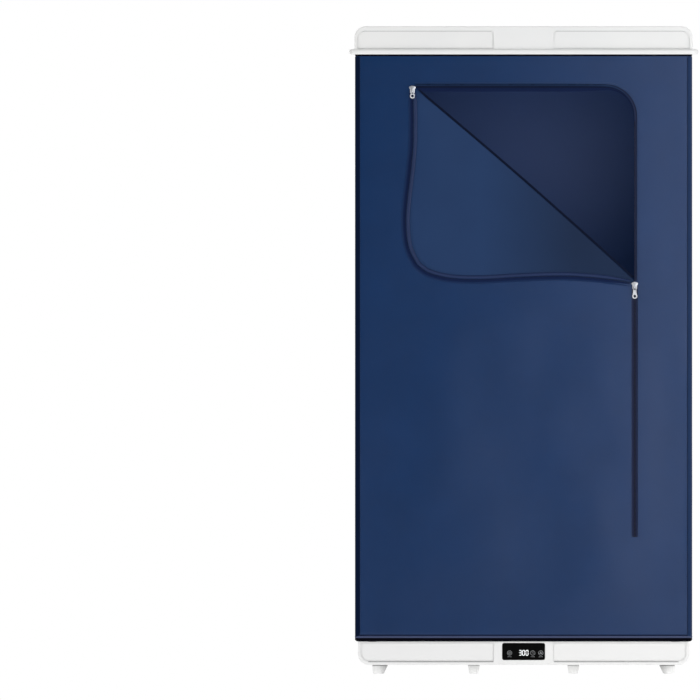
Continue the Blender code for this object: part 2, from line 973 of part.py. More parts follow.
def make_heater_core():
    """The finned heating element: corrugated fins between long rails."""
    length = heater_window_length - seat_gap * 2
    width = heater_window_width - seat_gap * 2
    outlines = [even_outline(length, width, 0)]
    row_pitch = (width - heater_rail) / heater_rows
    row_width = row_pitch - heater_rail
    cell = (length - heater_rail * 2) / (heater_row_cells + 1)
    for row in range(heater_rows):
        low = -width / 2 + heater_rail + row * row_pitch
        for index in range(heater_row_cells):
            middle = -length / 2 + heater_rail + cell * (index + 1)
            base, tip = (low, low + row_width) if index % 2 else (low + row_width, low)
            reach = cell - heater_fin
            outlines.append([(middle - reach, base), (middle + reach, base), (middle, tip)])
    bottom = heater_bottom + heater_ledge_height + seat_gap
    core = prism(
        "heater_core",
        outlines,
        heater_core_height,
        (0, 0, bottom + heater_core_height / 2),
        home=dryer,
    )
    return finish(core, fin_aluminium)


def make_thermal_cutout():
    """The safety thermostat on the heater frame's ear."""
    x = heater_frame_radius + cutout_reach
    bottom = heater_bottom + heater_ear_height + seat_gap
    cutout = turned(
        "thermal_cutout",
        [
            (0, bottom + cutout_height),
            (cutout_radius - edge_rounding / 2, bottom + cutout_height),
            (cutout_radius, bottom + cutout_height - edge_rounding / 2),
            (cutout_radius, bottom),
            (0, bottom),
        ],
        (x, 0, 0),
        sides=small_round_sides,
        home=dryer,
    )
    tab_bottom = bottom + cutout_height / 2
    join(cutout, box(
        "cutout_tabs",
        (x - cutout_tab_width / 2, -cutout_tab_length / 2, tab_bottom),
        (x + cutout_tab_width / 2, cutout_tab_length / 2, tab_bottom + cutout_tab_height),
    ))
    return finish(cutout, bracket_steel)


def make_display():
    """The glossy touch window and, behind it, its board with the digit block."""
    lens_z = base_bottom + lens_centre_height
    front = -base_depth / 2
    lens = prism(
        "display_lens",
        [even_outline(lens_width, lens_height, lens_corner_radius)],
        lens_thickness,
        (0, front + lens_thickness / 2, lens_z),
        "front",
        dryer,
    )
    finish(lens, black_gloss)
    board_front = -cavity_half_depth + deck_ledge + seat_gap
    board_z = ledge_top - edge_rounding - display_board_height / 2
    board = box(
        "display_board",
        (-display_board_width / 2, board_front, board_z - display_board_height / 2),
        (display_board_width / 2, board_front + board_thickness, board_z + display_board_height / 2),
        dryer,
    )
    join(board, box(
        "digit_block",
        (-digit_block_width / 2, front + lens_thickness + seat_gap * 2, lens_z - digit_block_height / 2),
        (digit_block_width / 2, board_front + join_depth, lens_z + digit_block_height / 2),
    ))
    finish(board, board_green)


def make_power_board():
    """The supply board on its bosses, with a transformer, a relay and two capacitors."""
    bottom = floor_top + board_boss_height + seat_gap
    top = bottom + board_thickness
    half_length = power_board_length / 2
    half_width = power_board_width / 2
    board = box(
        "power_board",
        (power_board_x - half_length, power_board_y - half_width, bottom),
        (power_board_x + half_length, power_board_y + half_width, top),
        dryer,
    )
    blocks = (("transformer", transformer_size), ("relay", relay_size))
    for (label, (length, width, height)), place_share in zip(blocks, board_block_shares):
        x = power_board_x + power_board_length * place_share
        join(board, box(
            label,
            (x - length / 2, power_board_y - width / 2, top - join_depth),
            (x + length / 2, power_board_y + width / 2, top + height),
        ))
    for index, place_share in enumerate(capacitor_shares):
        x = power_board_x + power_board_length * place_share
        join(board, rod(
            f"capacitor_{index}",
            capacitor_radius,
            (x, power_board_y, top - join_depth),
            (x, power_board_y, top + capacitor_height),
            small_round_sides,
        ))
    return finish(board, board_green)


def make_mains_inlet():
    """The flush two-pin appliance inlet in the rear block."""
    rear = base_depth / 2
    z = (base_bottom + base_top) / 2
    inlet = prism(
        "mains_inlet",
        [even_outline(inlet_flange_width, inlet_flange_height, panel_corner_rounding)],
        inlet_flange_thickness,
        (0, rear - inlet_flange_thickness / 2, z),
        "front",
        dryer,
    )
    join(inlet, box(
        "inlet_body",
        (-inlet_body_width / 2, rear - inlet_body_depth, z - inlet_body_height / 2),
        (inlet_body_width / 2, rear - join_depth, z + inlet_body_height / 2),
    ))
    pocket_half = inlet_pin_spacing / 2 + inlet_pocket_height / 2
    cut(inlet, prism(
        "inlet_pocket",
        [rounded_outline(-pocket_half, pocket_half, -inlet_pocket_height / 2, inlet_pocket_height / 2,
                         (inlet_pocket_height / 2 - seat_gap,) * 4)],
        inlet_pocket_depth * 2,
        (0, rear, z),
        "front",
    ))
    for index, side in enumerate((-1, 1)):
        x = side * inlet_pin_spacing / 2
        join(inlet, rod(
            f"inlet_pin_{index}",
            inlet_pin_radius,
            (x, rear - inlet_pocket_depth - join_depth, z),
            (x, rear - edge_rounding, z),
            small_round_sides,
        ))
    return finish(inlet, black_gloss)


def make_foot(name, x, y, corner):
    """A tapered foot; a corner foot also leans out to a gusset towards the middle of the base."""
    top_radius, bottom_radius = middle_foot_top_radius, middle_foot_bottom_radius
    if corner:
        top_radius, bottom_radius = corner_foot_top_radius, corner_foot_bottom_radius
    foot = rod(
        name,
        bottom_radius,
        (0, 0, 0),
        (0, 0, base_bottom - seat_gap),
        round_sides,
        top_radius,
        dryer,
    )
    if corner:
        inward = -math.copysign(1, x)
        for point in foot.data.vertices:
            if point.co.z > foot_height / 2 and point.co.x * inward > weld_distance:
                point.co.x += inward * corner_foot_gusset
    foot.location = (x, y, 0)
    round_edges(foot, foot_edge_rounding, 1)
    return finish(foot, white_abs)


def make_feet():
    for row, y in (("front", -foot_y), ("back", foot_y)):
        for side, way in (("left", -1), ("right", 1)):
            make_foot(f"foot_{row}_{side}_corner", way * corner_foot_x, y, True)
            make_foot(f"foot_{row}_{side}_middle", way * middle_foot_x, y, False)


# Posts and their brackets

def make_bracket(name, x, y, pin_z, seat_z, up):
    """A two-cheeked bracket with its pivot pin; up is 1 on the deck and -1 under the lid's ceiling."""
    near = seat_z + up * seat_gap
    plate_face = near + up * bracket_plate_thickness
    cheek_inner = tube_radius + bracket_cheek_gap
    cheek_outer = cheek_inner + bracket_cheek_thickness
    plate_half_width = cheek_outer + bracket_edge
    half_length = bracket_plate_length / 2
    bracket = box(
        name,
        (x - half_length, y - plate_half_width, min(near, plate_face)),
        (x + half_length, y + plate_half_width, max(near, plate_face)),
        dryer,
    )
    foot_v = up * (plate_face - up * join_depth - pin_z)
    outline = [(-half_length + bracket_edge, foot_v), (half_length - bracket_edge, foot_v)]
    wrap = bracket_eye_wrap_degrees
    outline += arc_points(0, 0, bracket_eye_radius, -wrap, 180 + wrap, eye_steps)
    outline = [(u, v * up) for u, v in outline]
    for index, side in enumerate((-1, 1)):
        middle = y + side * (cheek_inner + cheek_outer) / 2
        join(bracket, prism(
            f"{name}_cheek_{index}",
            [outline],
            bracket_cheek_thickness,
            (x, middle, pin_z),
            "front",
        ))
    join(bracket, headed_pin(name + "_pin", x, y, pin_z, cheek_outer))
    return finish(bracket, bracket_steel)


def headed_pin(name, x, y, z, half_span):
    """A pivot pin across Y with a flat head outside each cheek."""
    head_out = half_span + pin_head_height
    head_in = half_span - bracket_edge / 2
    profile = [
        (0, head_out),
        (pin_head_radius, head_out),
        (pin_head_radius, head_in),
        (pin_radius, head_in),
        (pin_radius, -head_in),
        (pin_head_radius, -head_in),
        (pin_head_radius, -head_out),
        (0, -head_out),
    ]
    return turned(name, profile, (x, y, z), "Y", small_round_sides)


def make_tube(name, x, y, pin_z, knee_end_z):
    """A hollow post tube from its bracket pin, where it has a cross hole, to its end in the knee."""
    up = math.copysign(1, knee_end_z - pin_z)
    tube = rod(
        name,
        tube_radius,
        (x, y, pin_z - up * tube_past_pin),
        (x, y, knee_end_z),
        round_sides,
        home=dryer,
    )
    cut(tube, rod(
        name + "_bore",
        tube_radius - tube_wall,
        (x, y, pin_z - up * (tube_past_pin + cut_overrun)),
        (x, y, knee_end_z + up * cut_overrun),
    ))
    cut(tube, rod(
        name + "_hole",
        pin_radius + pin_play,
        (x, y - tube_radius - cut_overrun, pin_z),
        (x, y + tube_radius + cut_overrun, pin_z),
        small_round_sides,
    ))
    return finish(tube, tube_steel)


def knee_outline(outward, up):
    """The side view of a knee's cheek or lug about the stop plane: an eye and its web."""
    inner_u = tube_radius / 2
    start = 180 + math.degrees(math.asin(knee_step / knee_eye_radius))
    outline = [(inner_u, -knee_web_length), (inner_u, -knee_step)]
    outline += arc_points(knee_offset, 0, knee_eye_radius, start, knee_eye_end_degrees, eye_steps)
    return [(outward * u, -up * v) for u, v in outline]


def make_knee_half(name, x, y, outward, up):
    """A moulded knee sleeve: up is -1 for the fork on the lower tube and 1 for the tongue above."""
    stop = knee_z + up * seat_gap / 2
    sleeve = rod(
        name,
        knee_sleeve_radius,
        (x, y, stop),
        (x, y, stop + up * knee_sleeve_length),
        round_sides,
        home=dryer,
    )
    outline = [knee_outline(outward, up)]
    place = (x, y, knee_z)
    if up > 0:
        join(sleeve, prism(name + "_lug", outline, knee_lug_half_width * 2, place, "front"))
    else:
        cheek_middle = knee_lug_half_width + seat_gap + knee_cheek_thickness / 2
        for index, side in enumerate((-1, 1)):
            cheek_place = (x, y + side * cheek_middle, knee_z)
            cheek = prism(f"{name}_cheek_{index}", outline, knee_cheek_thickness, cheek_place, "front")
            join(sleeve, cheek)
    cut(sleeve, rod(
        name + "_socket",
        tube_radius + seat_gap,
        (x, y, stop + up * knee_cap),
        (x, y, stop + up * (knee_sleeve_length + cut_overrun)),
        round_sides,
    ))
    knee_x = x + outward * knee_offset
    cheek_outer = knee_lug_half_width + seat_gap + knee_cheek_thickness
    if up > 0:
        cut(sleeve, rod(
            name + "_eye",
            pin_radius + pin_play,
            (knee_x, y - cheek_outer, knee_z),
            (knee_x, y + cheek_outer, knee_z),
            small_round_sides,
        ))
    else:
        join(sleeve, headed_pin(name + "_pin", knee_x, y, knee_z, cheek_outer))
    return finish(sleeve, nylon_grey)


def make_post(corner, x, y):
    """One knee-jointed post with its two brackets; its knee swings towards the middle of the dryer."""
    outward = math.copysign(1, x)
    knee_x = x + outward * knee_offset
    make_bracket(f"base_bracket_{corner}", x, y, base_pin_z, deck_top, 1)
    lower_hinge = hinge_point(f"hinge_base_{corner}")
    lower_place = (x, y, base_pin_z)
    socket_floor = seat_gap / 2 + knee_cap + seat_gap
    lower_tube = make_tube(f"lower_post_{corner}", x, y, base_pin_z, knee_z - socket_floor)
    carry(lower_tube, lower_hinge, lower_place)
    carry(make_knee_half(f"knee_fork_{corner}", x, y, outward, -1), lower_hinge, lower_place)
    upper_hinge = hinge_point(f"hinge_knee_{corner}")
    upper_place = (knee_x, y, knee_z)
    upper_tube = make_tube(f"upper_post_{corner}", x, y, lid_pin_z, knee_z + socket_floor)
    carry(upper_tube, upper_hinge, upper_place)
    carry(make_knee_half(f"knee_tongue_{corner}", x, y, outward, 1), upper_hinge, upper_place)
    bracket = make_bracket(f"lid_bracket_{corner}", x, y, lid_pin_z, ceiling, -1)
    return carry(bracket, lid_hinge, lid_hinge_place)


# Lid

def make_lid_shell():
    """The moulded lid: a flange with a lip, a dome with inset panels, and its hollow."""
    shell = prism(
        "lid_shell",
        [even_outline(flange_width, flange_depth, flange_plan_radius)],
        flange_height,
        (0, 0, flange_bottom + flange_height / 2),
        home=dryer,
    )
    round_edges(shell, flange_edge_rounding)
    dome_base = flange_top - dome_root
    dome = prism(
        "lid_dome",
        [rounded_outline(-dome_width / 2, dome_width / 2, dome_base, lid_top,
                         (0, 0, dome_corner_radius, dome_corner_radius), corner_steps + 2)],
        dome_depth,
        plane="front",
    )
    round_edges(dome, dome_edge_rounding)
    join(shell, dome)
    recess_width = flange_width - flange_lip * 2
    recess_depth = flange_depth - flange_lip * 2
    cut(shell, prism(
        "flange_recess_space",
        [even_outline(recess_width, recess_depth, flange_plan_radius - flange_lip)],
        flange_recess + cut_overrun,
        (0, 0, flange_ledge - (flange_recess + cut_overrun) / 2),
    ))
    hollow_half = dome_width / 2 - shell_wall
    hollow_radius = dome_corner_radius - shell_wall
    hollow_depth = dome_depth - (shell_wall + panel_inset) * 2
    cut(shell, prism(
        "dome_hollow",
        [rounded_outline(-hollow_half, hollow_half, flange_ledge - join_depth, ceiling,
                         (0, 0, hollow_radius, hollow_radius))],
        hollow_depth,
        plane="front",
    ))
    panel_radius = dome_corner_radius - panel_rim
    for panel in front_panels(
        "lid_panels",
        dome_width / 2,
        lid_block_width / 2,
        flange_top + lid_panel_bottom_band,
        lid_top - lid_panel_top_band,
        dome_depth / 2,
        (panel_corner_rounding, panel_radius),
        panel_seam_width,
        lid_ramp,
    ):
        cut(shell, panel)
    return finish(shell, white_abs)


def make_clamp_ring():
    """The flat ring inside the flange, which holds the top hem of the cover."""
    width = flange_width - (flange_lip + seat_gap) * 2
    depth = flange_depth - (flange_lip + seat_gap) * 2
    hole_width = width - clamp_ring_side_band * 2
    hole_depth = depth - clamp_ring_side_band * 2
    ring = prism(
        "cover_clamp_ring",
        [even_outline(width, depth, flange_plan_radius - flange_lip - seat_gap),
         even_outline(hole_width, hole_depth, clamp_ring_plan_radius)],
        clamp_ring_thickness,
        (0, 0, clamp_ring_top - clamp_ring_thickness / 2),
        home=dryer,
    )
    return finish(ring, white_abs)


def make_hanging_rail():
    """The hollow clothes rail under the lid, along X."""
    rail = rod(
        "hanging_rail",
        rail_radius,
        (-rail_half_length, 0, rail_z),
        (rail_half_length, 0, rail_z),
        home=dryer,
    )
    cut(rail, rod(
        "rail_bore",
        rail_radius - rail_wall,
        (-rail_half_length - cut_overrun, 0, rail_z),
        (rail_half_length + cut_overrun, 0, rail_z),
    ))
    return finish(rail, tube_steel)


def make_rail_bracket(name, way):
    """A ceiling plate, a web and a cup that takes the rail's end; way is the side it stands on."""
    end_x = way * rail_half_length
    cup_outer = end_x + way * (seat_gap + rail_socket_cap)
    cup_inner = end_x - way * rail_socket_length
    plate_top = ceiling - seat_gap
    middle_x = (cup_outer + cup_inner) / 2
    bracket = box(
        name,
        (middle_x - rail_plate_length / 2, -rail_plate_width / 2, plate_top - rail_plate_thickness),
        (middle_x + rail_plate_length / 2, rail_plate_width / 2, plate_top),
        dryer,
    )
    join(bracket, rod(
        name + "_cup",
        rail_socket_radius,
        (cup_inner, 0, rail_z),
        (cup_outer, 0, rail_z),
    ))
    web_low = min(cup_outer, cup_inner) + edge_rounding
    web_high = max(cup_outer, cup_inner) - edge_rounding
    join(bracket, box(
        name + "_web",
        (web_low, -rail_web_thickness / 2, rail_z),
        (web_high, rail_web_thickness / 2, plate_top - rail_plate_thickness + join_depth),
    ))
    cut(bracket, rod(
        name + "_bore",
        rail_radius + seat_gap,
        (cup_inner - way * cut_overrun, 0, rail_z),
        (end_x + way * seat_gap, 0, rail_z),
    ))
    return finish(bracket, bracket_steel)


# Cloth and zip

def fold_line(share):
    """The door's folded edge from its top left down to its lower right, with a slight belly."""
    belly = fold_sag_share * math.sin(math.pi * share) * (door_top - door_bottom)
    left_top = door_top - slider_plate_thickness * 2
    return (
        door_left + (door_right - door_left) * share,
        left_top + (door_bottom - left_top) * share + belly,
    )


def door_outline():
    """The open part of the door: along the top, round the corner, down, and back along the fold."""
    corner_u = door_right - door_corner_radius
    corner_v = door_top - door_corner_radius
    outline = [(door_left, door_top)]
    outline += arc_points(corner_u, corner_v, door_corner_radius, 90, 0, door_corner_steps)
    outline += [fold_line(1 - step / fold_steps) for step in range(fold_steps + 1)]
    return outline


def flap_free_edge():
    """The hanging edge of the folded-down flap, as shares of the door's width and height."""
    width = door_right - door_left
    height = door_top - door_bottom
    places = [(door_left + across * width, door_bottom + up * height) for across, up in flap_edge_shares]
    return smooth_points(places, flap_steps)


def make_fabric_cover():
    """The cloth walls: a thin-walled box with hems, upright piping and the open door."""
    inner_width = cover_width - cloth_thickness * 2
    inner_depth = cover_depth - cloth_thickness * 2
    height = cover_top - cover_bottom - hem_turn * 2
    cover = prism(
        "fabric_cover",
        [even_outline(cover_width, cover_depth, cover_plan_radius, 2),
         even_outline(inner_width, inner_depth, cover_plan_radius - cloth_thickness, 2)],
        height,
        (0, 0, (cover_bottom + cover_top) / 2),
        home=dryer,
    )
    for index, way_x in enumerate((-1, 1)):
        for end, way_y in enumerate((-1, 1)):
            x = way_x * (cover_width / 2 - cloth_thickness)
            y = way_y * (cover_depth / 2 - cloth_thickness)
            join(cover, rod(
                f"piping_{index}{end}",
                piping_radius,
                (x, y, cover_bottom + hem_turn * 2),
                (x, y, cover_top - hem_turn * 2),
                piping_sides,
            ))
    hem_outer = (cover_width + hem_proud * 2, cover_depth + hem_proud * 2)
    hem_inner = (cover_width - hem_width * 2, cover_depth - hem_width * 2)
    for label, middle in (
        ("bottom_hem", cover_bottom + hem_height / 2),
        ("top_hem", cover_top - hem_height / 2),
    ):
        hem = prism(
            label,
            [even_outline(*hem_outer, cover_plan_radius, 2), even_outline(*hem_inner, hem_proud, 1)],
            hem_height,
            (0, 0, middle),
        )
        join(cover, hem)
    cut(cover, prism(
        "door_opening",
        [door_outline()],
        (cloth_thickness + cut_overrun) * 2,
        (0, cover_front, 0),
        "front",
    ))
    return finish(cover, navy_cloth)


def make_door_flap():
    """The unzipped corner of the cloth, folded down with a soft crown, with its bound edge."""
    free_edge = flap_free_edge()
    middle = front_layer - cloth_thickness / 2
    sheet = bmesh.new()
    lines = []
    for index, (edge_u, edge_v) in enumerate(free_edge):
        across = (index + 1) / (len(free_edge) + 1)
        fold_u, fold_v = fold_line(across)
        line = []
        for step in range(flap_rows + 1):
            down = step / flap_rows
            crown = flap_crown * math.sin(math.pi * across) * math.sin(math.pi * down)
            u = fold_u + (edge_u - fold_u) * down
            v = fold_v + (edge_v - fold_v) * down
            line.append(sheet.verts.new((u, middle - crown, v)))
        lines.append(line)
    for near, far in zip(lines, lines[1:]):
        for step in range(flap_rows):
            sheet.faces.new((near[step], near[step + 1], far[step + 1], far[step]))
    flap = from_bmesh("door_flap", sheet, dryer)
    skin = flap.modifiers.new("thickness", "SOLIDIFY")
    skin.thickness = cloth_thickness
    skin.offset = 0
    roll_y = front_layer - flap_roll_radius
    edge = bpy.data.curves.new("flap_binding", "CURVE")
    edge.dimensions = "3D"
    edge.bevel_depth = flap_roll_radius
    edge.bevel_resolution = 1
    edge.use_fill_caps = True
    spline = edge.splines.new("POLY")
    spline.points.add(len(free_edge) - 1)
    for point, (u, v) in zip(spline.points, free_edge):
        point.co = (u, roll_y, v, 1)
    join(flap, curve_solid("flap_binding_roll", edge))
    return finish(flap, navy_cloth)


def curve_solid(name, curve, home=cutters):
    """A closed mesh from a curve with filled caps, whose caps are welded on."""
    drawn = keep(bpy.data.objects.new(name + "_drawn", curve), cutters)
    mesh = bpy.data.meshes.new_from_object(drawn.evaluated_get(bpy.context.evaluated_depsgraph_get()))
    bpy.data.objects.remove(drawn, do_unlink=True)
    shape = bmesh.new()
    shape.from_mesh(mesh)
    bmesh.ops.remove_doubles(shape, verts=shape.verts, dist=weld_distance)
    bmesh.ops.recalc_face_normals(shape, faces=shape.faces)
    shape.to_mesh(mesh)
    shape.free()
    return keep(bpy.data.objects.new(name, mesh), home)


def make_door_zip():
    """The zip tape: along the door's top and right edges, and the closed zip below the slider."""
    slope_top = side_slider_top - zip_shoulder + zip_slope
    slope_bottom = side_slider_top - zip_shoulder
    half_closed = zip_closed_width / 2
    inner = door_right + seat_gap
    top_edge = door_top + seat_gap
    corner_u = door_right - door_corner_radius
    corner_v = door_top - door_corner_radius
    outline = [
        (side_slider_x - half_closed, zip_end_height),
        (side_slider_x - half_closed, slope_bottom),
        (inner, slope_top),
    ]
    outline += arc_points(corner_u, corner_v, inner - corner_u, 0, 90, door_corner_steps)
    outline += [
        (door_left - zip_start_overhang, top_edge),
        (door_left - zip_start_overhang, top_edge + zip_band_width),
    ]
    outer_radius = inner - corner_u + zip_band_width
    outline += arc_points(corner_u, corner_v, outer_radius, 90, 0, door_corner_steps)
    outline += [
        (inner + zip_band_width, slope_top),
        (side_slider_x + half_closed, slope_bottom),
        (side_slider_x + half_closed, zip_end_height),
    ]
    tape = prism(
        "door_zip",
        [outline],
        zip_thickness,
        (0, front_layer - zip_thickness / 2, 0),
        "front",
        dryer,
    )
    return finish(tape, dark_tape)


def slider_levels(top_z):
    """Where a slider's faces and its pull's pivot lie: plate back, plate face, bar middle, bar height."""
    back = front_layer - zip_thickness - seat_gap
    face = back - slider_plate_thickness
    bar_y = face - bridge_space / 2
    bar_z = top_z - slider_length + pull_bar_height
    return back, face, bar_y, bar_z


def make_slider(name, x, top_z, hinge_name):
    """A wedge-shaped zip slider: a crowned head, and a bridge over its face for the pull."""
    back, face, bar_y, bar_z = slider_levels(top_z)
    head, tail = slider_head_width / 2, slider_tail_width / 2
    crown = math.degrees(math.asin(head / slider_crown_radius))
    outline = [
        (-tail, top_z - slider_length),
        (tail, top_z - slider_length),
        (tail, top_z - slider_length * slider_tail_share),
        (head, top_z - slider_length * slider_neck_share),
    ]
    outline += arc_points(
        0, top_z - slider_crown_radius, slider_crown_radius, 90 - crown, 90 + crown, eye_steps
    )
    outline += [
        (-head, top_z - slider_length * slider_neck_share),
        (-tail, top_z - slider_length * slider_tail_share),
    ]
    slider = prism(
        name,
        [[(x + u, v) for u, v in outline]],
        slider_plate_thickness,
        (0, (back + face) / 2, 0),
        "front",
        dryer,
    )
    strap_front = face - bridge_space - bridge_strap
    leg_bottom = bar_z - bridge_tail
    leg_top = leg_bottom + bridge_length
    sink = face + join_depth
    arch = [
        (sink, leg_bottom),
        (sink, leg_bottom + bridge_strap),
        (face - bridge_space, leg_bottom + bridge_strap),
        (face - bridge_space, leg_top - bridge_strap),
        (sink, leg_top - bridge_strap),
        (sink, leg_top),
        (strap_front + bridge_strap / 2, leg_top),
        (strap_front, leg_top - bridge_strap / 2),
        (strap_front, leg_bottom + bridge_strap / 2),
        (strap_front + bridge_strap / 2, leg_bottom),
    ]
    join(slider, prism(name + "_bridge", [arch], bridge_width, (x, 0, 0), "side"))
    hinge = hinge_point(hinge_name)
    return carry(finish(slider, slider_metal), hinge, (x, back, top_z))


def make_pull(name, x, top_z, length, hinge_name):
    """A flat zip pull: its bar passes under the bridge, and its sides flare to a round holed end."""
    bar_y, bar_z = slider_levels(top_z)[2:]
    half_bar = pull_bar / 2
    half = pull_width / 2
    round_off = pull_corner_radius
    end_z = bar_z - length + pull_end_radius
    flare_z = end_z + (bar_z - end_z) * pull_flare_share
    outline = [
        (-half + round_off, bar_z + half_bar),
        (-half, bar_z + half_bar - round_off),
        (-half, flare_z),
    ]
    outline += arc_points(
        0, end_z, pull_end_radius, 180 - pull_end_wrap, 360 + pull_end_wrap, eye_steps * 2
    )
    outline += [
        (half, flare_z),
        (half, bar_z + half_bar - round_off),
        (half - round_off, bar_z + half_bar),
    ]
    window_top = bar_z - half_bar
    window = rounded_outline(
        -pull_window_width / 2,
        pull_window_width / 2,
        window_top - pull_window_length,
        window_top,
        (0, 0, 0, 0),
    )
    hole = arc_points(0, end_z, pull_hole_radius, 0, 360, small_round_sides)[:-1]
    pull = prism(
        name,
        [outline, window, hole],
        pull_thickness,
        (x, bar_y, 0),
        "front",
        dryer,
    )
    hinge = hinge_point(hinge_name)
    return carry(finish(pull, slider_metal), hinge, (x, bar_y, bar_z))


lid_hinge_place = (-post_x, -outer_post_y, lid_pin_z)
lid_hinge = hinge_point("hinge_lid")

make_base_shell()
make_deck_panel()
make_outlet_grille()
make_fan_motor()
fan_hinge = hinge_point("hinge_fan")
carry(make_motor_shaft(), fan_hinge, (0, 0, wheel_bottom))
carry(make_fan_wheel(), fan_hinge, (0, 0, wheel_bottom))
make_fan_shroud()
make_heater_frame()
make_heater_core()
make_thermal_cutout()
make_display()
make_power_board()
make_mains_inlet()
make_feet()

for row, way_y in (("front", -1), ("back", 1)):
    make_post(f"{row}_left", -post_x, way_y * outer_post_y)
    make_post(f"{row}_right", post_x, way_y * inner_post_y)

carry(make_lid_shell(), lid_hinge, lid_hinge_place)
carry(make_clamp_ring(), lid_hinge, lid_hinge_place)
carry(make_hanging_rail(), lid_hinge, lid_hinge_place)
carry(make_rail_bracket("rail_bracket_left", -1), lid_hinge, lid_hinge_place)
carry(make_rail_bracket("rail_bracket_right", 1), lid_hinge, lid_hinge_place)

make_fabric_cover()
make_door_flap()
make_door_zip()
make_slider("zip_slider_side", side_slider_x, side_slider_top, "hinge_side_slider")
make_slider("zip_slider_top", top_slider_x, top_slider_top, "hinge_top_slider")
make_pull("zip_pull_side", side_slider_x, side_slider_top, side_pull_length, "hinge_side_pull")
make_pull("zip_pull_top", top_slider_x, top_slider_top, top_pull_length, "hinge_top_pull")
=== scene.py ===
# %% [markdown]
# # A folding clothes dryer
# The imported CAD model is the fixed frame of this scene: every rigid part is already in it, at its real
# size. This file gives those parts their finishes and makes what a CAD solid can't show: the cloth cover
# with its open door, the zip, the stitching and the lit display.
# Everything is in metres, +Z is up, and the dryer's front faces -Y.

import math

import bmesh
import bpy
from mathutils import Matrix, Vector, noise


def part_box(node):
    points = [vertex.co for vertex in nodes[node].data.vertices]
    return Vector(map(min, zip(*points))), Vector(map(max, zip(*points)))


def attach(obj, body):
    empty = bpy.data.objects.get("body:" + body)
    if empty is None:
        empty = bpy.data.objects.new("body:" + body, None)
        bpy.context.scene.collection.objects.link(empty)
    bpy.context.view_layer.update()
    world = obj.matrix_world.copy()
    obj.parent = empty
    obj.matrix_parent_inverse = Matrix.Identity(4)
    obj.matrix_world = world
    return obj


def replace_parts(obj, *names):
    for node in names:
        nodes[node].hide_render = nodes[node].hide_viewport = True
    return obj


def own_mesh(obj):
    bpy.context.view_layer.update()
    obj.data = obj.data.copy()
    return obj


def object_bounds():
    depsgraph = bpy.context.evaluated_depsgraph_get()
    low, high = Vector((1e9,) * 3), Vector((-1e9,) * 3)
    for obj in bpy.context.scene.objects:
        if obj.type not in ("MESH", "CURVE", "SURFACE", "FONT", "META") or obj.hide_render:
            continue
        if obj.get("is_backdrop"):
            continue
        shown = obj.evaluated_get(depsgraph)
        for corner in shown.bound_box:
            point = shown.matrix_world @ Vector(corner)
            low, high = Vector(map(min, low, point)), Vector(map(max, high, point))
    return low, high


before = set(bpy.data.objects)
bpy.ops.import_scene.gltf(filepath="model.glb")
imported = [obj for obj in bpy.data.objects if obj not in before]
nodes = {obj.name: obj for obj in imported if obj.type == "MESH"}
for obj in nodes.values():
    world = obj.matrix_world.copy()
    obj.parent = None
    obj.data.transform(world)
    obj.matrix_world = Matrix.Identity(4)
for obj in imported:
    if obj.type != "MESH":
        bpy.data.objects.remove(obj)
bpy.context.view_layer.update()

# %% [markdown]
# ## Sizes that the cloth follows
# The cloth is cut to the frame, so its sizes are read from the CAD nodes that it stands for. Only what
# the nodes' boxes don't tell, such as the door's corner radius, is typed here.

# %% Read the cover and the door from the CAD
cover_low, cover_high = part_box("fabric_cover")
tape_low, tape_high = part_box("door_zip")
glass_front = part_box("display_lens")[0].y
hem_proud = 0.0004
half_width = cover_high.x - hem_proud
half_depth = cover_high.y - hem_proud
corner_radius = 0.006
cloth = 0.0009
tape_width = 0.008
tape_gap = 0.0003
door_right = tape_high.x - tape_width - tape_gap
door_top = tape_high.z - tape_width - tape_gap
door_left = tape_low.x + 0.012
door_bottom = door_top - 0.416
door_corner = 0.062
zip_x = (tape_high.x + door_right) / 2 - 0.00315
front = -half_depth
print("walls", round(half_width * 2, 3), "x", round(half_depth * 2, 3))
print("door", round(door_left, 3), round(door_right, 3), round(door_bottom, 3), round(door_top, 3))

# %% [markdown]
# ## Helpers for finishes
# Colours are written as sRGB hex, as a paint program shows them, and the shader wants linear values. One
# function turns them, and one adds any node with its settings and its links. The others say what a
# pattern does to a finish: it tints it, sets its roughness or stands out of it. So each finish below
# reads as a short list of what feeds what.

# %% Colour and node helpers
def linear(hex_text):
    """An sRGB colour such as #1f3560 as the linear values of a shader."""
    channels = [int(hex_text[place:place + 2], 16) / 255 for place in (1, 3, 5)]
    return tuple(c / 12.92 if c <= 0.04045 else ((c + 0.055) / 1.055) ** 2.4 for c in channels) + (1.0,)


def add_node(tree, kind, inputs=None, **settings):
    """Add a node: settings are its properties, inputs are values or the sockets that feed them."""
    node = tree.nodes.new("ShaderNode" + kind)
    for name, value in settings.items():
        setattr(node, name, value)
    for socket, value in (inputs or {}).items():
        if isinstance(value, bpy.types.NodeSocket):
            tree.links.new(value, node.inputs[socket])
        else:
            node.inputs[socket].default_value = value
    return node


def new_finish(name, values):
    """A material whose Principled shader starts from the given values."""
    finish = bpy.data.materials.new(name)
    finish.use_nodes = True
    shader = finish.node_tree.nodes["Principled BSDF"]
    for socket, value in values.items():
        shader.inputs[socket].default_value = value
    return finish, finish.node_tree, shader


def reckon(tree, operation, *values):
    """The result of a sum on values or sockets."""
    return add_node(tree, "Math", dict(enumerate(values)), operation=operation).outputs[0]


def pattern(tree, scale, detail, place=None):
    """The value of a noise that is fixed to the piece; its patches are 1 / scale metres."""
    if place is None:
        place = add_node(tree, "TexCoord").outputs["Object"]
    return add_node(tree, "TexNoise", {"Vector": place, "Scale": scale, "Detail": detail}).outputs[0]


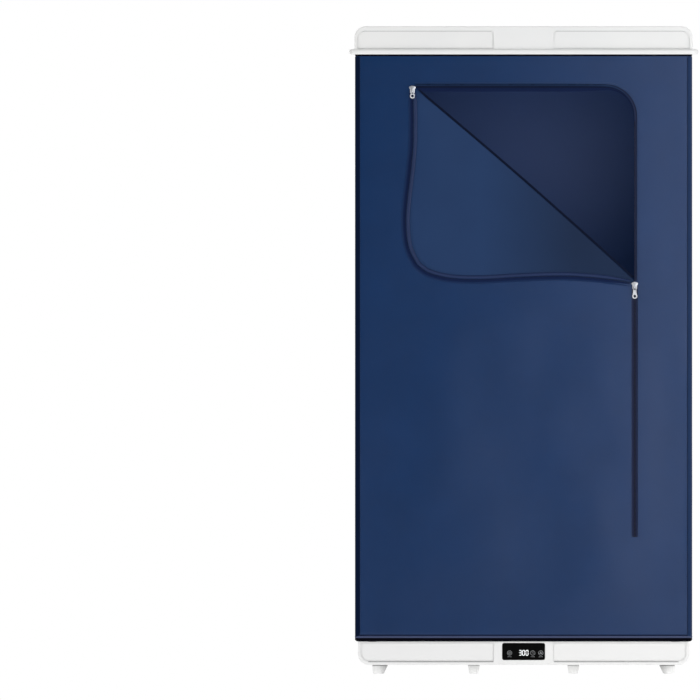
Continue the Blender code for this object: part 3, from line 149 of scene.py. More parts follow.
def tint(tree, shader, value, dark, light, ramp=(0.0, 1.0)):
    """Colour a finish by a pattern's value, from its dark shade to its light one."""
    tone = add_node(tree, "ValToRGB", {"Fac": value})
    for element, position, shade in zip(tone.color_ramp.elements, ramp, (dark, light)):
        element.position = position
        element.color = linear(shade)
    tree.links.new(tone.outputs["Color"], shader.inputs["Base Color"])
    return tone.outputs["Color"]


def roughen(tree, shader, value, rough):
    """Let a pattern's value set a finish's roughness between two levels."""
    gloss = add_node(tree, "MapRange", {"Value": value, "To Min": rough[0], "To Max": rough[1]})
    tree.links.new(gloss.outputs[0], shader.inputs["Roughness"])


def emboss(tree, shader, value, strength, depth):
    """Let a pattern's value stand out of a finish, by a depth in metres."""
    bump = add_node(tree, "Bump", {"Height": value, "Strength": strength, "Distance": depth})
    tree.links.new(bump.outputs[0], shader.inputs["Normal"])


print("white is", linear("#ffffff"))

# %% [markdown]
# ## Moulded ABS, white
# The lid, the base and the feet are injection-moulded ABS. The mould is spark-eroded, which leaves a
# fine even grain, so the plastic is satin and not a mirror. The grain is about 0.4 mm on the real part;
# it is drawn at 1.2 mm, because a finer one can't show at this distance. The lid's white is painted a
# little greyer than the base's, as painted shade, and the narrow grooves along the panels get grey strips
# of painted shade.

# %% Moulded white ABS
abs_grain = 0.0012


def moulded(name, shades, rough, grain, depth, strength=0.3, ior=1.5, flow=12.0, ramp=(0.3, 0.7)):
    """A moulded plastic: its shade flows slowly, and a grain of a size in metres lies on it."""
    finish, tree, shader = new_finish(name, {"IOR": ior, "Roughness": rough[0]})
    tint(tree, shader, pattern(tree, flow, 3.0), *shades, ramp)
    relief = pattern(tree, 1 / grain, 2.0)
    roughen(tree, shader, relief, rough)
    emboss(tree, shader, relief, strength, depth)
    return finish


def moulded_white(name, dark, light):
    """White ABS whose tone flows between two near whites; the lid's greyer pair and the grooves' greys are
    painted shade.
    """
    rough, ramp = (0.33, 0.43), (0.35, 0.65)
    return moulded(name, (dark, light), rough, abs_grain, 0.00004, 0.12, 1.54, 3.0, ramp)


moulded_abs = moulded_white("moulded_white_abs", "#ececec", "#f1f1f0")
# The lid's whites are painted a little greyer than the base's: painted shade that keeps the lid from
# looking brighter than the base under these lamps.
lid_painted_shade_abs = moulded_white("abs_lid_painted_shade", "#e1e2e2", "#e7e7e6")
# Greys of painted shade for the strips in the panels' grooves.
groove_shade_grey = moulded_white("groove_painted_shade_grey", "#505153", "#5c5d5f")
groove_shade_pale = moulded_white("groove_painted_shade_pale", "#9c9d9e", "#a8a9aa")


print("whites", moulded_abs.name, lid_painted_shade_abs.name)

# %% [markdown]
# ## White for the feet
# The feet are the same ABS, but the glowing studio floor would light their roots and the slanted webs of
# the corner feet too well. On the real dryer they lie in the base's shade, so their colour is darkened
# over the last 2 mm under the base, and towards the webs' tips.

# %% Shaded ABS for the feet
root_low, root_high = 0.0158, 0.0178
web_tip, web_start = 0.293, 0.311


def place_on(tree):
    """The X, Y and Z of each point of a piece, as sockets."""
    place = add_node(tree, "TexCoord").outputs["Object"]
    return add_node(tree, "SeparateXYZ", {"Vector": place}).outputs


def share_left(tree, value, start, end, left_at_start, left_at_end):
    """What is left of a colour as a place goes from start to end."""
    limits = {"From Min": start, "From Max": end, "To Min": left_at_start, "To Max": left_at_end}
    return add_node(tree, "MapRange", {"Value": value, **limits}).outputs[0]


def darken(finish, factor):
    """Multiply a finish's colour by a factor that varies over the piece."""
    tree = finish.node_tree
    colour = tree.nodes["Principled BSDF"].inputs["Base Color"]
    both = {0: colour.links[0].from_socket, "Scale": factor}
    tree.links.new(add_node(tree, "VectorMath", both, operation="SCALE").outputs[0], colour)


def foot_white(name, root, web):
    """White ABS for a foot; root and web are what is left of its colour there."""
    finish = moulded_white(name, "#ececec", "#f1f1f0")
    tree = finish.node_tree
    x, _, z = place_on(tree)
    shade = share_left(tree, z, root_low, root_high, 1.0, root)
    lean = share_left(tree, reckon(tree, "ABSOLUTE", x), web_tip, web_start, web, 1.0)
    darken(finish, reckon(tree, "MULTIPLY", shade, lean))
    return finish


corner_foot_abs = foot_white("moulded_white_abs_corner_foot", 0.34, 0.52)
middle_foot_abs = foot_white("moulded_white_abs_middle_foot", 0.62, 1.0)
print("feet", corner_foot_abs.name, middle_foot_abs.name)

# %% [markdown]
# ## Oxford cloth, navy
# The cover is polyester oxford, a plain weave of thick threads with a thin coating on its back. Threads
# lie over and under each other like a chessboard, so the height comes from two wave patterns that a
# checker swaps. The real thread pitch is 0.6 mm; it is drawn at 1.5 mm so that the weave can show.
# The coating gives a soft wide gloss. The flap shows the coated side; its colour is painted darker
# towards the zip's lower end, as painted shade on the flap's lower right part.

# %% Navy oxford weave
thread_pitch = 0.0015
wave_scale = 2 * math.pi / 20 / thread_pitch


def weave_heights(tree, pitch_scale=1.0):
    """The height of a plain weave on upright cloth; warp runs along Z, weft runs round the walls."""
    x, y, z = place_on(tree)
    flat = {"X": reckon(tree, "ADD", x, y), "Y": 0.0003, "Z": z}
    flat = add_node(tree, "CombineXYZ", flat).outputs[0]
    bands = {"Vector": flat, "Scale": wave_scale * pitch_scale}
    warp, weft = (
        add_node(tree, "TexWave", bands, bands_direction=direction, wave_profile="SIN").outputs[1]
        for direction in ("X", "Z")
    )
    squares = {"Vector": flat, "Scale": pitch_scale / thread_pitch}
    checks = add_node(tree, "TexChecker", squares).outputs[1]
    woven = add_node(tree, "Mix", {"Factor": checks, "A": warp, "B": weft}, data_type="FLOAT")
    return woven.outputs["Result"], flat


def woven_finish(name, dark, light, roughness, pitch_scale=1.0, depth=0.00025):
    """A woven cloth between two colours: threads' tops are the light one."""
    finish, tree, shader = new_finish(name, {"IOR": 1.5, "Roughness": roughness})
    heights, flat = weave_heights(tree, pitch_scale)
    thread = add_node(tree, "MapRange", {"Value": heights, "To Min": 0.25, "To Max": 0.65}).outputs[0]
    shade = reckon(tree, "MULTIPLY_ADD", thread, pattern(tree, 9.0, 4.0, flat), 0.15)
    tint(tree, shader, shade, dark, light, (0.15, 0.75))
    emboss(tree, shader, heights, 0.35, depth)
    return finish, shader


navy_oxford, shader = woven_finish("navy_oxford_weave", "#04254b", "#092f5c", 0.22, 1.0, 0.00005)
shader.inputs["Specular Tint"].default_value = linear("#d2dcff")
lining, shader = woven_finish("coated_lining_navy", "#173161", "#1d3a6b", 0.45, 1.0, 0.00005)
shader.inputs["Specular IOR Level"].default_value = 0.15
flap_lining_shaded, shader = woven_finish("flap_painted_shade_navy", "#1c3358", "#223b62", 0.45, 1.0, 0.00005)
shader.inputs["Specular IOR Level"].default_value = 0.1
# The flap's colour is painted darker from left to right: painted shade on its lower right part.
tree = flap_lining_shaded.node_tree
darken(flap_lining_shaded, share_left(tree, place_on(tree)[0], -0.09, 0.11, 1.0, 0.52))
print("thread pitch drawn at", thread_pitch * 1000, "mm")

# %% [markdown]
# ## Binding, zip tape and thread
# Raw cloth edges are closed with a darker bias binding, and the zip's coil is sewn on a tight ribbed
# tape. Both are finer weaves than the cover, and duller, because they have no coating. The binding at
# the left is painted darker and the one at the right lighter: painted shade and painted light from the
# lamps at the right. The sewing thread is bonded polyester with a slight shine.

# %% Binding, tape and thread
def trim_weave(name, dark, light, roughness, depth, shine, pitch_scale=1.4):
    """A narrow woven trim; shine is its specular level."""
    finish, shader = woven_finish(name, dark, light, roughness, pitch_scale, depth)
    shader.inputs["Specular IOR Level"].default_value = shine
    return finish


# Painted shade: the left corner piping and the hem's groove strip. Painted light: the right corner piping
# and the outer strip of the door's turned edge.
painted_shade_binding = trim_weave("corner_piping_painted_shade", "#020e26", "#051634", 0.6, 0.00015, 0.04)
painted_lit_binding = trim_weave("corner_piping_painted_light", "#0d2449", "#123055", 0.5, 0.00015, 0.15)
# Painted shade for the seam lines, the hood's inner half and the fold's strip.
seam_shadow = trim_weave("seam_painted_shade", "#030d26", "#06132e", 0.6, 0.0001, 0.08)
# Dark navy for the flap's tape and the door's facing, partly painted shade.
tape_and_shade_navy = trim_weave("flap_tape_painted_shade", "#07173a", "#0b1d42", 0.6, 0.0001, 0.08)
# Painted shadow: the soft edge of the flap's shadow on the cover.
shadow_edge_navy = trim_weave("shadow_edge_painted_navy", "#0b2248", "#10294f", 0.5, 0.0001, 0.1)
# Near black binding, partly painted shade under the hem's roll and under the lid's flange.
hem_binding_and_shade = trim_weave("black_hem_and_shade", "#010108", "#02030f", 0.7, 0.00015, 0.04)
# A lighter slate for the hem's roll: painted highlight on its upper side.
roll_highlight_slate = trim_weave("hem_roll_painted_highlight", "#29355a", "#354268", 0.4, 0.0001, 0.5)
flap_binding = trim_weave("bias_binding_slate", "#16264a", "#1c2e56", 0.5, 0.00015, 0.2)
zip_tape_weave = trim_weave("zip_tape_ribbed", "#0f1836", "#151f41", 0.6, 0.0001, 0.2, 2.0)

thread_twist = 0.0006
sewing_thread, tree, shader = new_finish(
    "bonded_thread", {"IOR": 1.5, "Roughness": 0.5, "Specular IOR Level": 0.2}
)
tint(tree, shader, pattern(tree, 1 / thread_twist, 1.0), "#071634", "#142a56")
print("finish", sewing_thread.name)

# %% [markdown]
# ## Nylon coil
# The zip's teeth are one coil of nylon wire. It is smooth, dyed with the tape and shinier than the cloth,
# which is why an open zip draws a thin bright line along the door.

# %% Nylon coil
nylon_coil, tree, shader = new_finish(
    "nylon_coil_dark", {"IOR": 1.53, "Roughness": 0.4, "Specular IOR Level": 0.2}
)
wear = pattern(tree, 400.0, 2.0)
tint(tree, shader, wear, "#060a1c", "#131a36")
roughen(tree, shader, wear, (0.24, 0.4))
print("finish", nylon_coil.name)

# %% [markdown]
# ## Metals
# Four metals show: nickel on the die-cast zip sliders, drawn steel tube with a zinc coat, pressed steel
# brackets with a duller zinc coat, and plain aluminium fins in the heater. A metal has no colour of its
# own under the reflection, so each differs in tint, in roughness and in which way its marks run.

# %% Metal finishes
def metal(name, shades, rough, mark, stretch=(1, 1, 1)):
    """A metal whose marks are a noise of the given size in metres, stretched along an axis."""
    finish, tree, shader = new_finish(name, {"Metallic": 1.0, "Roughness": rough[0]})
    place = add_node(tree, "TexCoord").outputs["Object"]
    drawn = add_node(tree, "Mapping", {"Vector": place, "Scale": stretch}).outputs[0]
    marks = pattern(tree, 1 / mark, 3.0, drawn)
    tint(tree, shader, marks, *shades, (0.3, 0.7))
    roughen(tree, shader, marks, rough)
    emboss(tree, shader, marks, 0.15, mark / 20)
    return finish


tube_shades, tube_rough = ("#b4b7ba", "#cfd1d3"), (0.2, 0.36)
nickel_plate = metal("nickel_plate", ("#bfc2c8", "#d4d6dc"), (0.42, 0.55), 0.0015)
drawn_tube = metal("drawn_zinc_tube", tube_shades, tube_rough, 0.002, (1, 1, 0.02))
rail_tube = metal("drawn_zinc_rail", tube_shades, tube_rough, 0.002, (0.02, 1, 1))
zinc_plate = metal("zinc_plated_pressing", ("#a2a6a8", "#c2c4c4"), (0.32, 0.5), 0.004)
plain_aluminium = metal("rolled_aluminium", ("#c6c8ca", "#dcdddd"), (0.25, 0.42), 0.003, (0.1, 1, 1))
print("metals", nickel_plate.name, drawn_tube.name, zinc_plate.name, plain_aluminium.name)

# %% [markdown]
# ## Other plastics
# The knees are glass-filled nylon, a dull grey with a dry grain. The fan parts are black polypropylene,
# the inlet is glossier, and the boards inside are green solder mask with straight copper tracks below it.

# %% Knee nylon, fan plastic and board
filled_nylon = moulded("glass_filled_nylon", ("#3e4144", "#4a4d50"), (0.48, 0.62), 0.0008, 0.00005)
fan_plastic = moulded("black_polypropylene", ("#141416", "#1e1e20"), (0.38, 0.52), 0.0010, 0.00004)
inlet_plastic = moulded("black_inlet_nylon", ("#0b0b0c", "#141415"), (0.22, 0.34), 0.0010, 0.00002)

track_pitch = 0.004
board_colours = {
    "Color1": linear("#0c4a2a"), "Color2": linear("#0e5230"), "Mortar": linear("#2c7a48"),
}
solder_mask, tree, shader = new_finish("green_solder_mask", {"IOR": 1.5, "Roughness": 0.35})
place = add_node(tree, "TexCoord").outputs["Object"]
lines = {"Vector": place, "Scale": 1 / track_pitch, "Mortar Size": 0.08}
tracks = add_node(tree, "TexBrick", {**lines, **board_colours})
tree.links.new(tracks.outputs["Color"], shader.inputs["Base Color"])
print("plastics", filled_nylon.name, fan_plastic.name, inlet_plastic.name, solder_mask.name)

# %% [markdown]
# ## Touch window, lit digits and printed marks
# The display is a smoked acrylic window over a digit module, so it reads as almost black with a sharp
# reflection. Light finger marks change its gloss. The digits glow white through it, and the key marks are
# a grey print on its back.

# %% Window, light and print
touch_window, tree, shader = new_finish(
    "smoked_acrylic_window", {"IOR": 1.49, "Roughness": 0.06, "Specular IOR Level": 0.06}
)
touches = pattern(tree, 60.0, 4.0)
tint(tree, shader, touches, "#040404", "#0b0b0b")
roughen(tree, shader, touches, (0.04, 0.14))


def glowing_finish(name, dim, bright, strength):
    """Light through the window: a slightly uneven glow between two colours."""
    finish, tree, shader = new_finish(name, {"Roughness": 0.4, "Emission Strength": strength})
    tone = tint(tree, shader, pattern(tree, 500.0, 1.0), dim, bright)
    tree.links.new(tone, shader.inputs["Emission Color"])
    return finish


lit_segment = glowing_finish("lit_segment_white", "#e2e6ea", "#ffffff", 0.85)
key_print = glowing_finish("key_print_grey", "#7e8082", "#a2a4a6", 0.35)
print("display finishes", touch_window.name, lit_segment.name, key_print.name)

# %% [markdown]
# ## Dress the CAD parts
# A CAD part whose shape is right only needs its finish. The list goes by a part of each node's name.

# %% Give the CAD nodes their finishes
finish_of = {
    "base_shell": moulded_abs,
    "deck_panel": moulded_abs,
    "outlet_grille": moulded_abs,
    "lid_shell": lid_painted_shade_abs,
    "cover_clamp_ring": lid_painted_shade_abs,
    "_corner": corner_foot_abs,
    "_middle": middle_foot_abs,
    "lower_post": drawn_tube,
    "upper_post": drawn_tube,
    "hanging_rail": rail_tube,
    "motor_shaft": drawn_tube,
    "knee_": filled_nylon,
    "base_bracket": zinc_plate,
    "lid_bracket": zinc_plate,
    "rail_bracket": zinc_plate,
    "fan_motor": zinc_plate,
    "thermal_cutout": zinc_plate,
    "fan_wheel": fan_plastic,
    "fan_shroud": fan_plastic,
    "heater_frame": fan_plastic,
    "heater_core": plain_aluminium,
    "display_lens": touch_window,
    "display_board": solder_mask,
    "power_board": solder_mask,
    "mains_inlet": inlet_plastic,
}
dressed = 0
for name, node in nodes.items():
    for part_of_name, finish in finish_of.items():
        if part_of_name in name:
            for slot in node.material_slots:
                slot.material = finish
            dressed += 1
print("dressed", dressed, "nodes; the cloth and zip nodes are replaced below")

# %% [markdown]
# ## Helpers for new pieces
# New pieces are built point by point in bmesh, then turned into objects. A soft piece is made a plain
# mesh, with any modifier applied, and rides on a body.

# %% Mesh helpers
crease = math.radians(38)


def make_piece(name, shape, finish):
    """An object from a finished bmesh, smooth where its faces meet gently."""
    bmesh.ops.recalc_face_normals(shape, faces=shape.faces)
    mesh = bpy.data.meshes.new(name)
    shape.to_mesh(mesh)
    shape.free()
    mesh.materials.append(finish)
    mesh.shade_smooth()
    mesh.set_sharp_from_angle(angle=crease)
    piece = bpy.data.objects.new(name, mesh)
    bpy.context.scene.collection.objects.link(piece)
    return piece


def settle(piece):
    """Apply a piece's modifiers."""
    graph = bpy.context.evaluated_depsgraph_get()
    made = bpy.data.meshes.new_from_object(piece.evaluated_get(graph), depsgraph=graph)
    piece.modifiers.clear()
    piece.data = made
    return piece


def collapse(piece, body="base"):
    """Let a soft piece ride on a body, as a plain mesh of its own."""
    settle(piece)
    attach(piece, body)
    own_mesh(piece)
    return piece


def thicken(piece, inner=0):
    """Give a skin the cloth's thickness; its inner side takes the finish that many slots on."""
    thickness = piece.modifiers.new("cloth_thickness", "SOLIDIFY")
    thickness.thickness = cloth
    thickness.offset = 0
    thickness.material_offset = inner
    settle(piece)


def join_rings(shape, rings, closed_ring=True, cap=True):
    """Bridge rings of points into a skin, with its ends closed."""
    rows = [[shape.verts.new(point) for point in ring] for ring in rings]
    count = len(rows[0])
    last = count if closed_ring else count - 1
    for near, far in zip(rows, rows[1:]):
        for place in range(last):
            after = (place + 1) % count
            shape.faces.new((near[place], near[after], far[after], far[place]))
    if cap and closed_ring:
        shape.faces.new(rows[0][::-1])
        shape.faces.new(rows[-1])
    return rows


# %% [markdown]
# ## The walls, seen from above
# The cover's walls run round a rounded rectangle. Each point on it knows which way is out and how slack
# the cloth is there: none at the corners, most in the middle of a wall.

# %% Walk round the walls
def round_walls(step, out=0.0, corner_steps=5):
    """Points round the walls as (place, outward, slack)."""
    points = []
    centres = [(1, 1), (-1, 1), (-1, -1), (1, -1)]
    for index, (way_x, way_y) in enumerate(centres):
        centre = Vector((way_x * (half_width - corner_radius), way_y * (half_depth - corner_radius)))
        for turn in range(corner_steps + 1):
            angle = math.radians(90 * index + 90 * turn / corner_steps)
            outward = Vector((math.cos(angle), math.sin(angle)))
            points.append((centre + outward * (corner_radius + out), outward, 0.0))
        next_x, next_y = centres[(index + 1) % 4]
        start = points[-1][0]
        reach = Vector((next_x * (half_width - corner_radius), next_y * (half_depth - corner_radius)))
        end = reach + outward * (corner_radius + out)
        count = max(2, round((end - start).length / step))
        beside = 0.0015 / (end - start).length
        for share in (beside, *(along / count for along in range(1, count)), 1 - beside):
            points.append((start.lerp(end, share), outward, math.sin(math.pi * share)))
    return points


print(len(round_walls(0.018)), "points round the walls")

# %% [markdown]
# ## The cover's cloth
# The cover hangs from the lid's ring and is pulled tight by the base, so it is nearly flat, with slow
# shallow waves in the middle of each wall. Near the door and the zip the tape stiffens it and keeps it
# flat. The cloth is one skin round all four walls, given its thickness, and the door is then cut out.

# %% Weave the four walls
wave_height = 0.0022


def ease(value, low, high):
    """A smooth step from 0 at low to 1 at high."""
    share = min(1.0, max(0.0, (value - low) / (high - low)))
    return share * share * (3 - 2 * share)


def tuck(height):
    """How far the cloth has curved inwards at a height, where its foot turns in under the hem."""
    left = corner_radius - (height - cover_low.z)
    return corner_radius - math.sqrt(corner_radius ** 2 - left ** 2) if left > 0 else 0.0


def slackness(place, outward, height):
    """How freely the cloth waves at a point: 0 where a tape, hem or corner holds it."""
    free = ease(height, cover_low.z + 0.01, cover_low.z + 0.16)
    free *= ease(cover_high.z - height, 0.01, 0.16)
    if outward.y < -0.9:
        beside = max(door_left - 0.03 - place.x, place.x - tape_high.x - 0.01, 0.0)
        under = max(door_bottom - 0.03 - height, 0.0)
        from_door = math.hypot(beside, under) if height < door_bottom else beside
        from_zip = abs(place.x - zip_x) if height > tape_low.z - 0.02 else 1.0
        free *= ease(from_door, 0.0, 0.07) * ease(from_zip, 0.012, 0.08)
    return free


def wave(place, height):
    """Slow waves: long upright ones from the pull of the lid, crossed by rounder ones."""
    long_wave = noise.noise(Vector((place.x * 5.5, place.y * 5.5, height * 1.3)))
    round_wave = noise.noise(Vector((place.x * 9.0 + 7, place.y * 9.0, height * 6.0)))
    return 0.75 * long_wave + 0.35 * round_wave


def wall_skin(shape, levels, step):
    """The skin of the walls at the given heights."""
    walls = round_walls(step)
    rings = []
    for height in levels:
        ring = []
        for place, outward, slack in walls:
            rise = wave_height * math.sqrt(slack) * slackness(place, outward, height)
            spot = place + outward * (rise * wave(place, height) - cloth / 2 - tuck(height))
            ring.append((spot.x, spot.y, height))
        rings.append(ring)
    return join_rings(shape, rings, cap=False)


rows = 70
end_inset = 0.0006
foot = cover_low.z + corner_radius
levels = [cover_low.z + end_inset + (corner_radius - end_inset) * row / 4 for row in range(4)]
levels += [foot + (cover_high.z - end_inset - foot) * row / rows for row in range(rows + 1)]
shape = bmesh.new()
wall_skin(shape, levels, 0.016)
cover_cloth = make_piece("cover_cloth", shape, navy_oxford)
cover_cloth.data.materials.append(lining)
thicken(cover_cloth, inner=1)
print("cover skin", len(cover_cloth.data.polygons), "faces")

# %% [markdown]
# ## The door's outline
# The open part of the door is bounded by the zip along the top, round the corner and down the right, and
# by the fold of the cloth from the lower right up to the top left. The fold bellies a little.

# %% Draw the door
fold_start = Vector((door_left, door_top - 0.0044))
fold_end = Vector((door_right, door_bottom))
fold_belly = 0.005


def fold_point(share):
    """A point on the fold, from the top left (0) to the lower right (1)."""
    point = fold_start.lerp(fold_end, share)
    return point + Vector((0, fold_belly * math.sin(math.pi * share)))


def zip_edge(out=0.0, step=0.006):
    """Points along the door's zipped edge, from the top left to the lower right, moved out a little."""
    reach = door_corner + out
    centre = Vector((door_right - door_corner, door_top - door_corner))
    points = []
    count = round((centre.x - door_left) / step)
    for along in range(count):
        points.append(Vector((door_left + (centre.x - door_left) * along / count, door_top + out)))
    turns = round(reach * math.pi / 2 / step)
    for turn in range(turns):
        angle = math.pi / 2 * (1 - turn / turns)
        points.append(centre + Vector((math.cos(angle), math.sin(angle))) * reach)
    count = round((centre.y - door_bottom) / step)
    for along in range(count + 1):
        points.append(Vector((door_right + out, centre.y + (door_bottom - centre.y) * along / count)))
    return points


edge_points = zip_edge()
length = sum((b - a).length for a, b in zip(edge_points, edge_points[1:]))
print("the door's zipped edge is", round(length * 1000), "mm long")

# %% Cut the door out of the cloth
shape = bmesh.new()
outline = zip_edge(step=0.012) + [fold_point(1 - step / 12) for step in range(1, 12)]
for layer in (front - 0.02, front + 0.02):
    for point in outline:
        shape.verts.new((point.x, layer, point.y))
shape.verts.ensure_lookup_table()
count = len(outline)
shape.faces.new(shape.verts[:count])
shape.faces.new(shape.verts[count:])
for place in range(count):
    after = (place + 1) % count
    shape.faces.new(
        (shape.verts[place], shape.verts[after], shape.verts[count + after], shape.verts[count + place])
    )
door_cutter = make_piece("door_cutter", shape, navy_oxford)
opening = cover_cloth.modifiers.new("door_opening", "BOOLEAN")
opening.operation = "DIFFERENCE"
opening.solver = "EXACT"
opening.object = door_cutter
settle(cover_cloth)
bpy.data.objects.remove(door_cutter, do_unlink=True)
cover_cloth.data.shade_smooth()
cover_cloth.data.set_sharp_from_angle(angle=crease)
print("cover with its door", len(cover_cloth.data.polygons), "faces")

# %% [markdown]
# ## Hems and corner bindings
# The bottom edge is a rolled hem: cloth turned over a welt, painted a lighter slate as a painted
# highlight on its upper side. Above it lies a dark strip of painted shade, for a groove, and under it a
# dark binding, painted near black, partly as shade under the roll. The top edge has a flat dark binding
# that tucks up inside the lid, painted near black, partly as the shade under the lid's flange. Bindings
# also close the four upright corners. Each band is one profile carried round the walls.

# %% Bands round the walls
band_back = -0.0012


def wall_band(name, profile, finish, step=0.02):
    """A band round the walls with a closed profile of (out, height) points."""
    shape = bmesh.new()
    rings = []
    for place, outward, slack in round_walls(step):
        rings.append([(*(place + outward * (out - tuck(height))), height) for out, height in profile])
    rings.append(rings[0])
    join_rings(shape, rings, cap=False)
    bmesh.ops.remove_doubles(shape, verts=shape.verts, dist=0.00001)
    return make_piece(name, shape, finish)


def roll_profile(low, high, out, sides=10):
    """Half of an ellipse outside the wall and a flat back inside it."""
    middle, reach = (low + high) / 2, (high - low) / 2
    points = [(band_back, low), (band_back, high)]
    for side in range(sides + 1):
        angle = math.pi / 2 - math.pi * side / sides
        points.append((0.0001 + out * math.cos(angle), middle + reach * math.sin(angle)))
    return points


hem_bottom = cover_low.z
bottom_roll = wall_band(
    "bottom_hem_roll", roll_profile(hem_bottom + 0.0072, hem_bottom + 0.0124, 0.0014), roll_highlight_slate
)
# A dark strip of painted shade along the top of the hem's roll.
low, high, out = hem_bottom + 0.0122, hem_bottom + 0.0146, 0.0003
groove_profile = [(band_back, low), (band_back, high), (out, high), (out, low)]
hem_shade_strip = wall_band("bottom_hem_shade_strip", groove_profile, painted_shade_binding)
bottom_binding = wall_band(
    "bottom_hem_binding", roll_profile(hem_bottom, hem_bottom + 0.0080, 0.0012), hem_binding_and_shade
)
top_binding = wall_band(
    "top_hem_binding", roll_profile(cover_high.z - 0.0082, cover_high.z, 0.0009), hem_binding_and_shade
)
print("hems", [o.name for o in (bottom_roll, hem_shade_strip, bottom_binding, top_binding)])

# %% Corner bindings
binding_reach = 0.0085
binding_proud = 0.0009


def corner_binding(name, way_x, way_y, finish):
    """A strip that wraps an upright corner, thicker over its welt."""
    section = []
    flat = binding_reach - corner_radius
    for out, backwards in ((binding_proud, False), (-0.0006, True)):
        radius = corner_radius + out
        run = [Vector((radius, -flat))]
        for turn in range(9):
            angle = math.radians(90 * turn / 8)
            swell = 0.0006 * math.sin(math.radians(180) * turn / 8) if out > 0 else 0
            run.append(Vector((math.cos(angle), math.sin(angle))) * (radius + swell))
        run.append(Vector((-flat, radius)))
        section += run[::-1] if backwards else run
    centre = Vector((half_width - corner_radius, half_depth - corner_radius))
    low, high = hem_bottom + 0.010, cover_high.z - 0.009
    shape = bmesh.new()
    rings = []
    for row in range(33):
        height = low + (high - low) * row / 32
        rings.append([(way_x * (centre.x + p.x), way_y * (centre.y + p.y), height) for p in section])
    join_rings(shape, rings)
    return make_piece(name, shape, finish)


# The left corner bindings take painted shade, the right ones painted light.
corner_bindings = [
    corner_binding(f"corner_binding_{row}_{side}", way_x, way_y, finish)
    for row, way_y in (("front", -1), ("back", 1))
    for side, way_x, finish in (("left", -1, painted_shade_binding), ("right", 1, painted_lit_binding))
]
print(len(corner_bindings), "corner bindings")

# %% [markdown]
# ## Ribbons, teeth and stitches along a line
# The zip follows lines drawn on the front wall. Two helpers lay things along such a line: a ribbon with a
# flat or round section, and a row of small blocks, which are a coil's teeth or a seam's stitches.

# %% Helpers along a line on the front wall
def directions(path):
    """The unit direction and the unit side of each point of a path in the XZ plane."""
    found = []
    last = len(path) - 1
    for index in range(len(path)):
        along = (path[min(index + 1, last)] - path[max(index - 1, 0)]).normalized()
        found.append((along, Vector((-along.y, along.x))))
    return found


def even_path(points, step):
    """The same line with points an even step apart."""
    spaced, carry = [points[0]], 0.0
    for start, end in zip(points, points[1:]):
        length = (end - start).length
        while carry + length >= step * len(spaced):
            share = (step * len(spaced) - carry) / length
            spaced.append(start.lerp(end, share))
        carry += length
    return spaced


def lay_ribbon(shape, path, section, width_at=None):
    """Carry a closed section of (side, out) points along a path; out is towards -Y."""
    rings = []
    for index, (point, (along, side)) in enumerate(zip(path, directions(path))):
        wide = 1.0 if width_at is None else width_at(index / (len(path) - 1))
        rings.append([
            (point.x + side.x * across * wide, front - out, point.y + side.y * across * wide)
            for across, out in section
        ])
    join_rings(shape, rings)


def ribbon_piece(name, finish, path, section, width_at=None):
    """A piece that is one ribbon."""
    shape = bmesh.new()
    lay_ribbon(shape, path, section, width_at)
    return make_piece(name, shape, finish)


def strip(low, high, out, thick):
    """The section of a flat strip between two side distances."""
    return [(low, out), (low, out + thick), (high, out + thick), (high, out)]


def lay_blocks(shape, path, pitch, size, out, side_shift=0.0):
    """A row of small blocks along a path, narrower at the top: size is (along, across, out)."""
    spaced = even_path(path, pitch)
    for index, (point, (along, side)) in enumerate(zip(spaced, directions(spaced))):
        centre = point + side * side_shift
        corners = []
        for tall, share in ((0.0, 1.0), (size[2], 0.62)):
            for step_along, step_side in ((-1, -1), (1, -1), (1, 1), (-1, 1)):
                spot = centre + along * (step_along * size[0] / 2 * share)
                spot = spot + side * (step_side * size[1] / 2 * share)
                corners.append(shape.verts.new((spot.x, front - out - tall, spot.y)))
        shape.faces.new(corners[4:])
        for edge in range(4):
            after = (edge + 1) % 4
            shape.faces.new((corners[edge], corners[after], corners[4 + after], corners[4 + edge]))
        shape.faces.new(corners[:4][::-1])


print("ready to lay ribbons, teeth and stitches")

# %% [markdown]
# ## The zip on the cover
# One half of the zip's tape runs along the door's edge on the cover. Its coil shows from the door's corner
# down, and the turned edge of the cloth covers it along the top. Below the side slider both halves are
# joined, so the strip is wider there and shows two rows of teeth locked into each other.

# %% Zip tape and coil on the cover
tape_out = 0.0003
tape_thick = 0.0007
seen_tape = 0.0058
coil_starts = 0.6
shape = bmesh.new()
lay_ribbon(shape, zip_edge(step=0.008), strip(0.0002, seen_tape, tape_out, tape_thick))
closed_top = door_bottom - 0.005
closed_line = [Vector((zip_x, closed_top + (tape_low.z - closed_top) * step / 40)) for step in range(41)]
closed_half = 0.0065
lay_ribbon(shape, closed_line, strip(-closed_half, closed_half, tape_out, tape_thick))
cover_zip_tape = make_piece("cover_zip_tape", shape, zip_tape_weave)

tooth = (0.0011, 0.0030, 0.0008)
tooth_pitch = 0.0018
shape = bmesh.new()
bare_edge = zip_edge(out=0.0012)
bare_edge = bare_edge[round(len(bare_edge) * coil_starts):]
lay_blocks(shape, bare_edge, tooth_pitch, tooth, tape_out + tape_thick)
for side_shift in (-tooth_pitch / 2, tooth_pitch / 2):
    lay_blocks(shape, closed_line, tooth_pitch, tooth, tape_out + tape_thick, side_shift)
cover_zip_coil = make_piece("cover_zip_coil", shape, nylon_coil)
print("zip coil", len(cover_zip_coil.data.polygons), "faces")

# %% [markdown]
# ## The turned edge over the zip
# Along the door's top and round its corner the cover's edge is turned over the tape as a narrow hood:
# its outer half is painted lighter as painted light, and its inner half dark as painted shade. A facing
# hangs behind it, painted dark as the hood's shade. Thin dark lines of painted shade lie along the
# seams: at the zip, along the tape, and beside the two front corners.

# %% Turned edge, facing and seams
hood_ends = 0.62


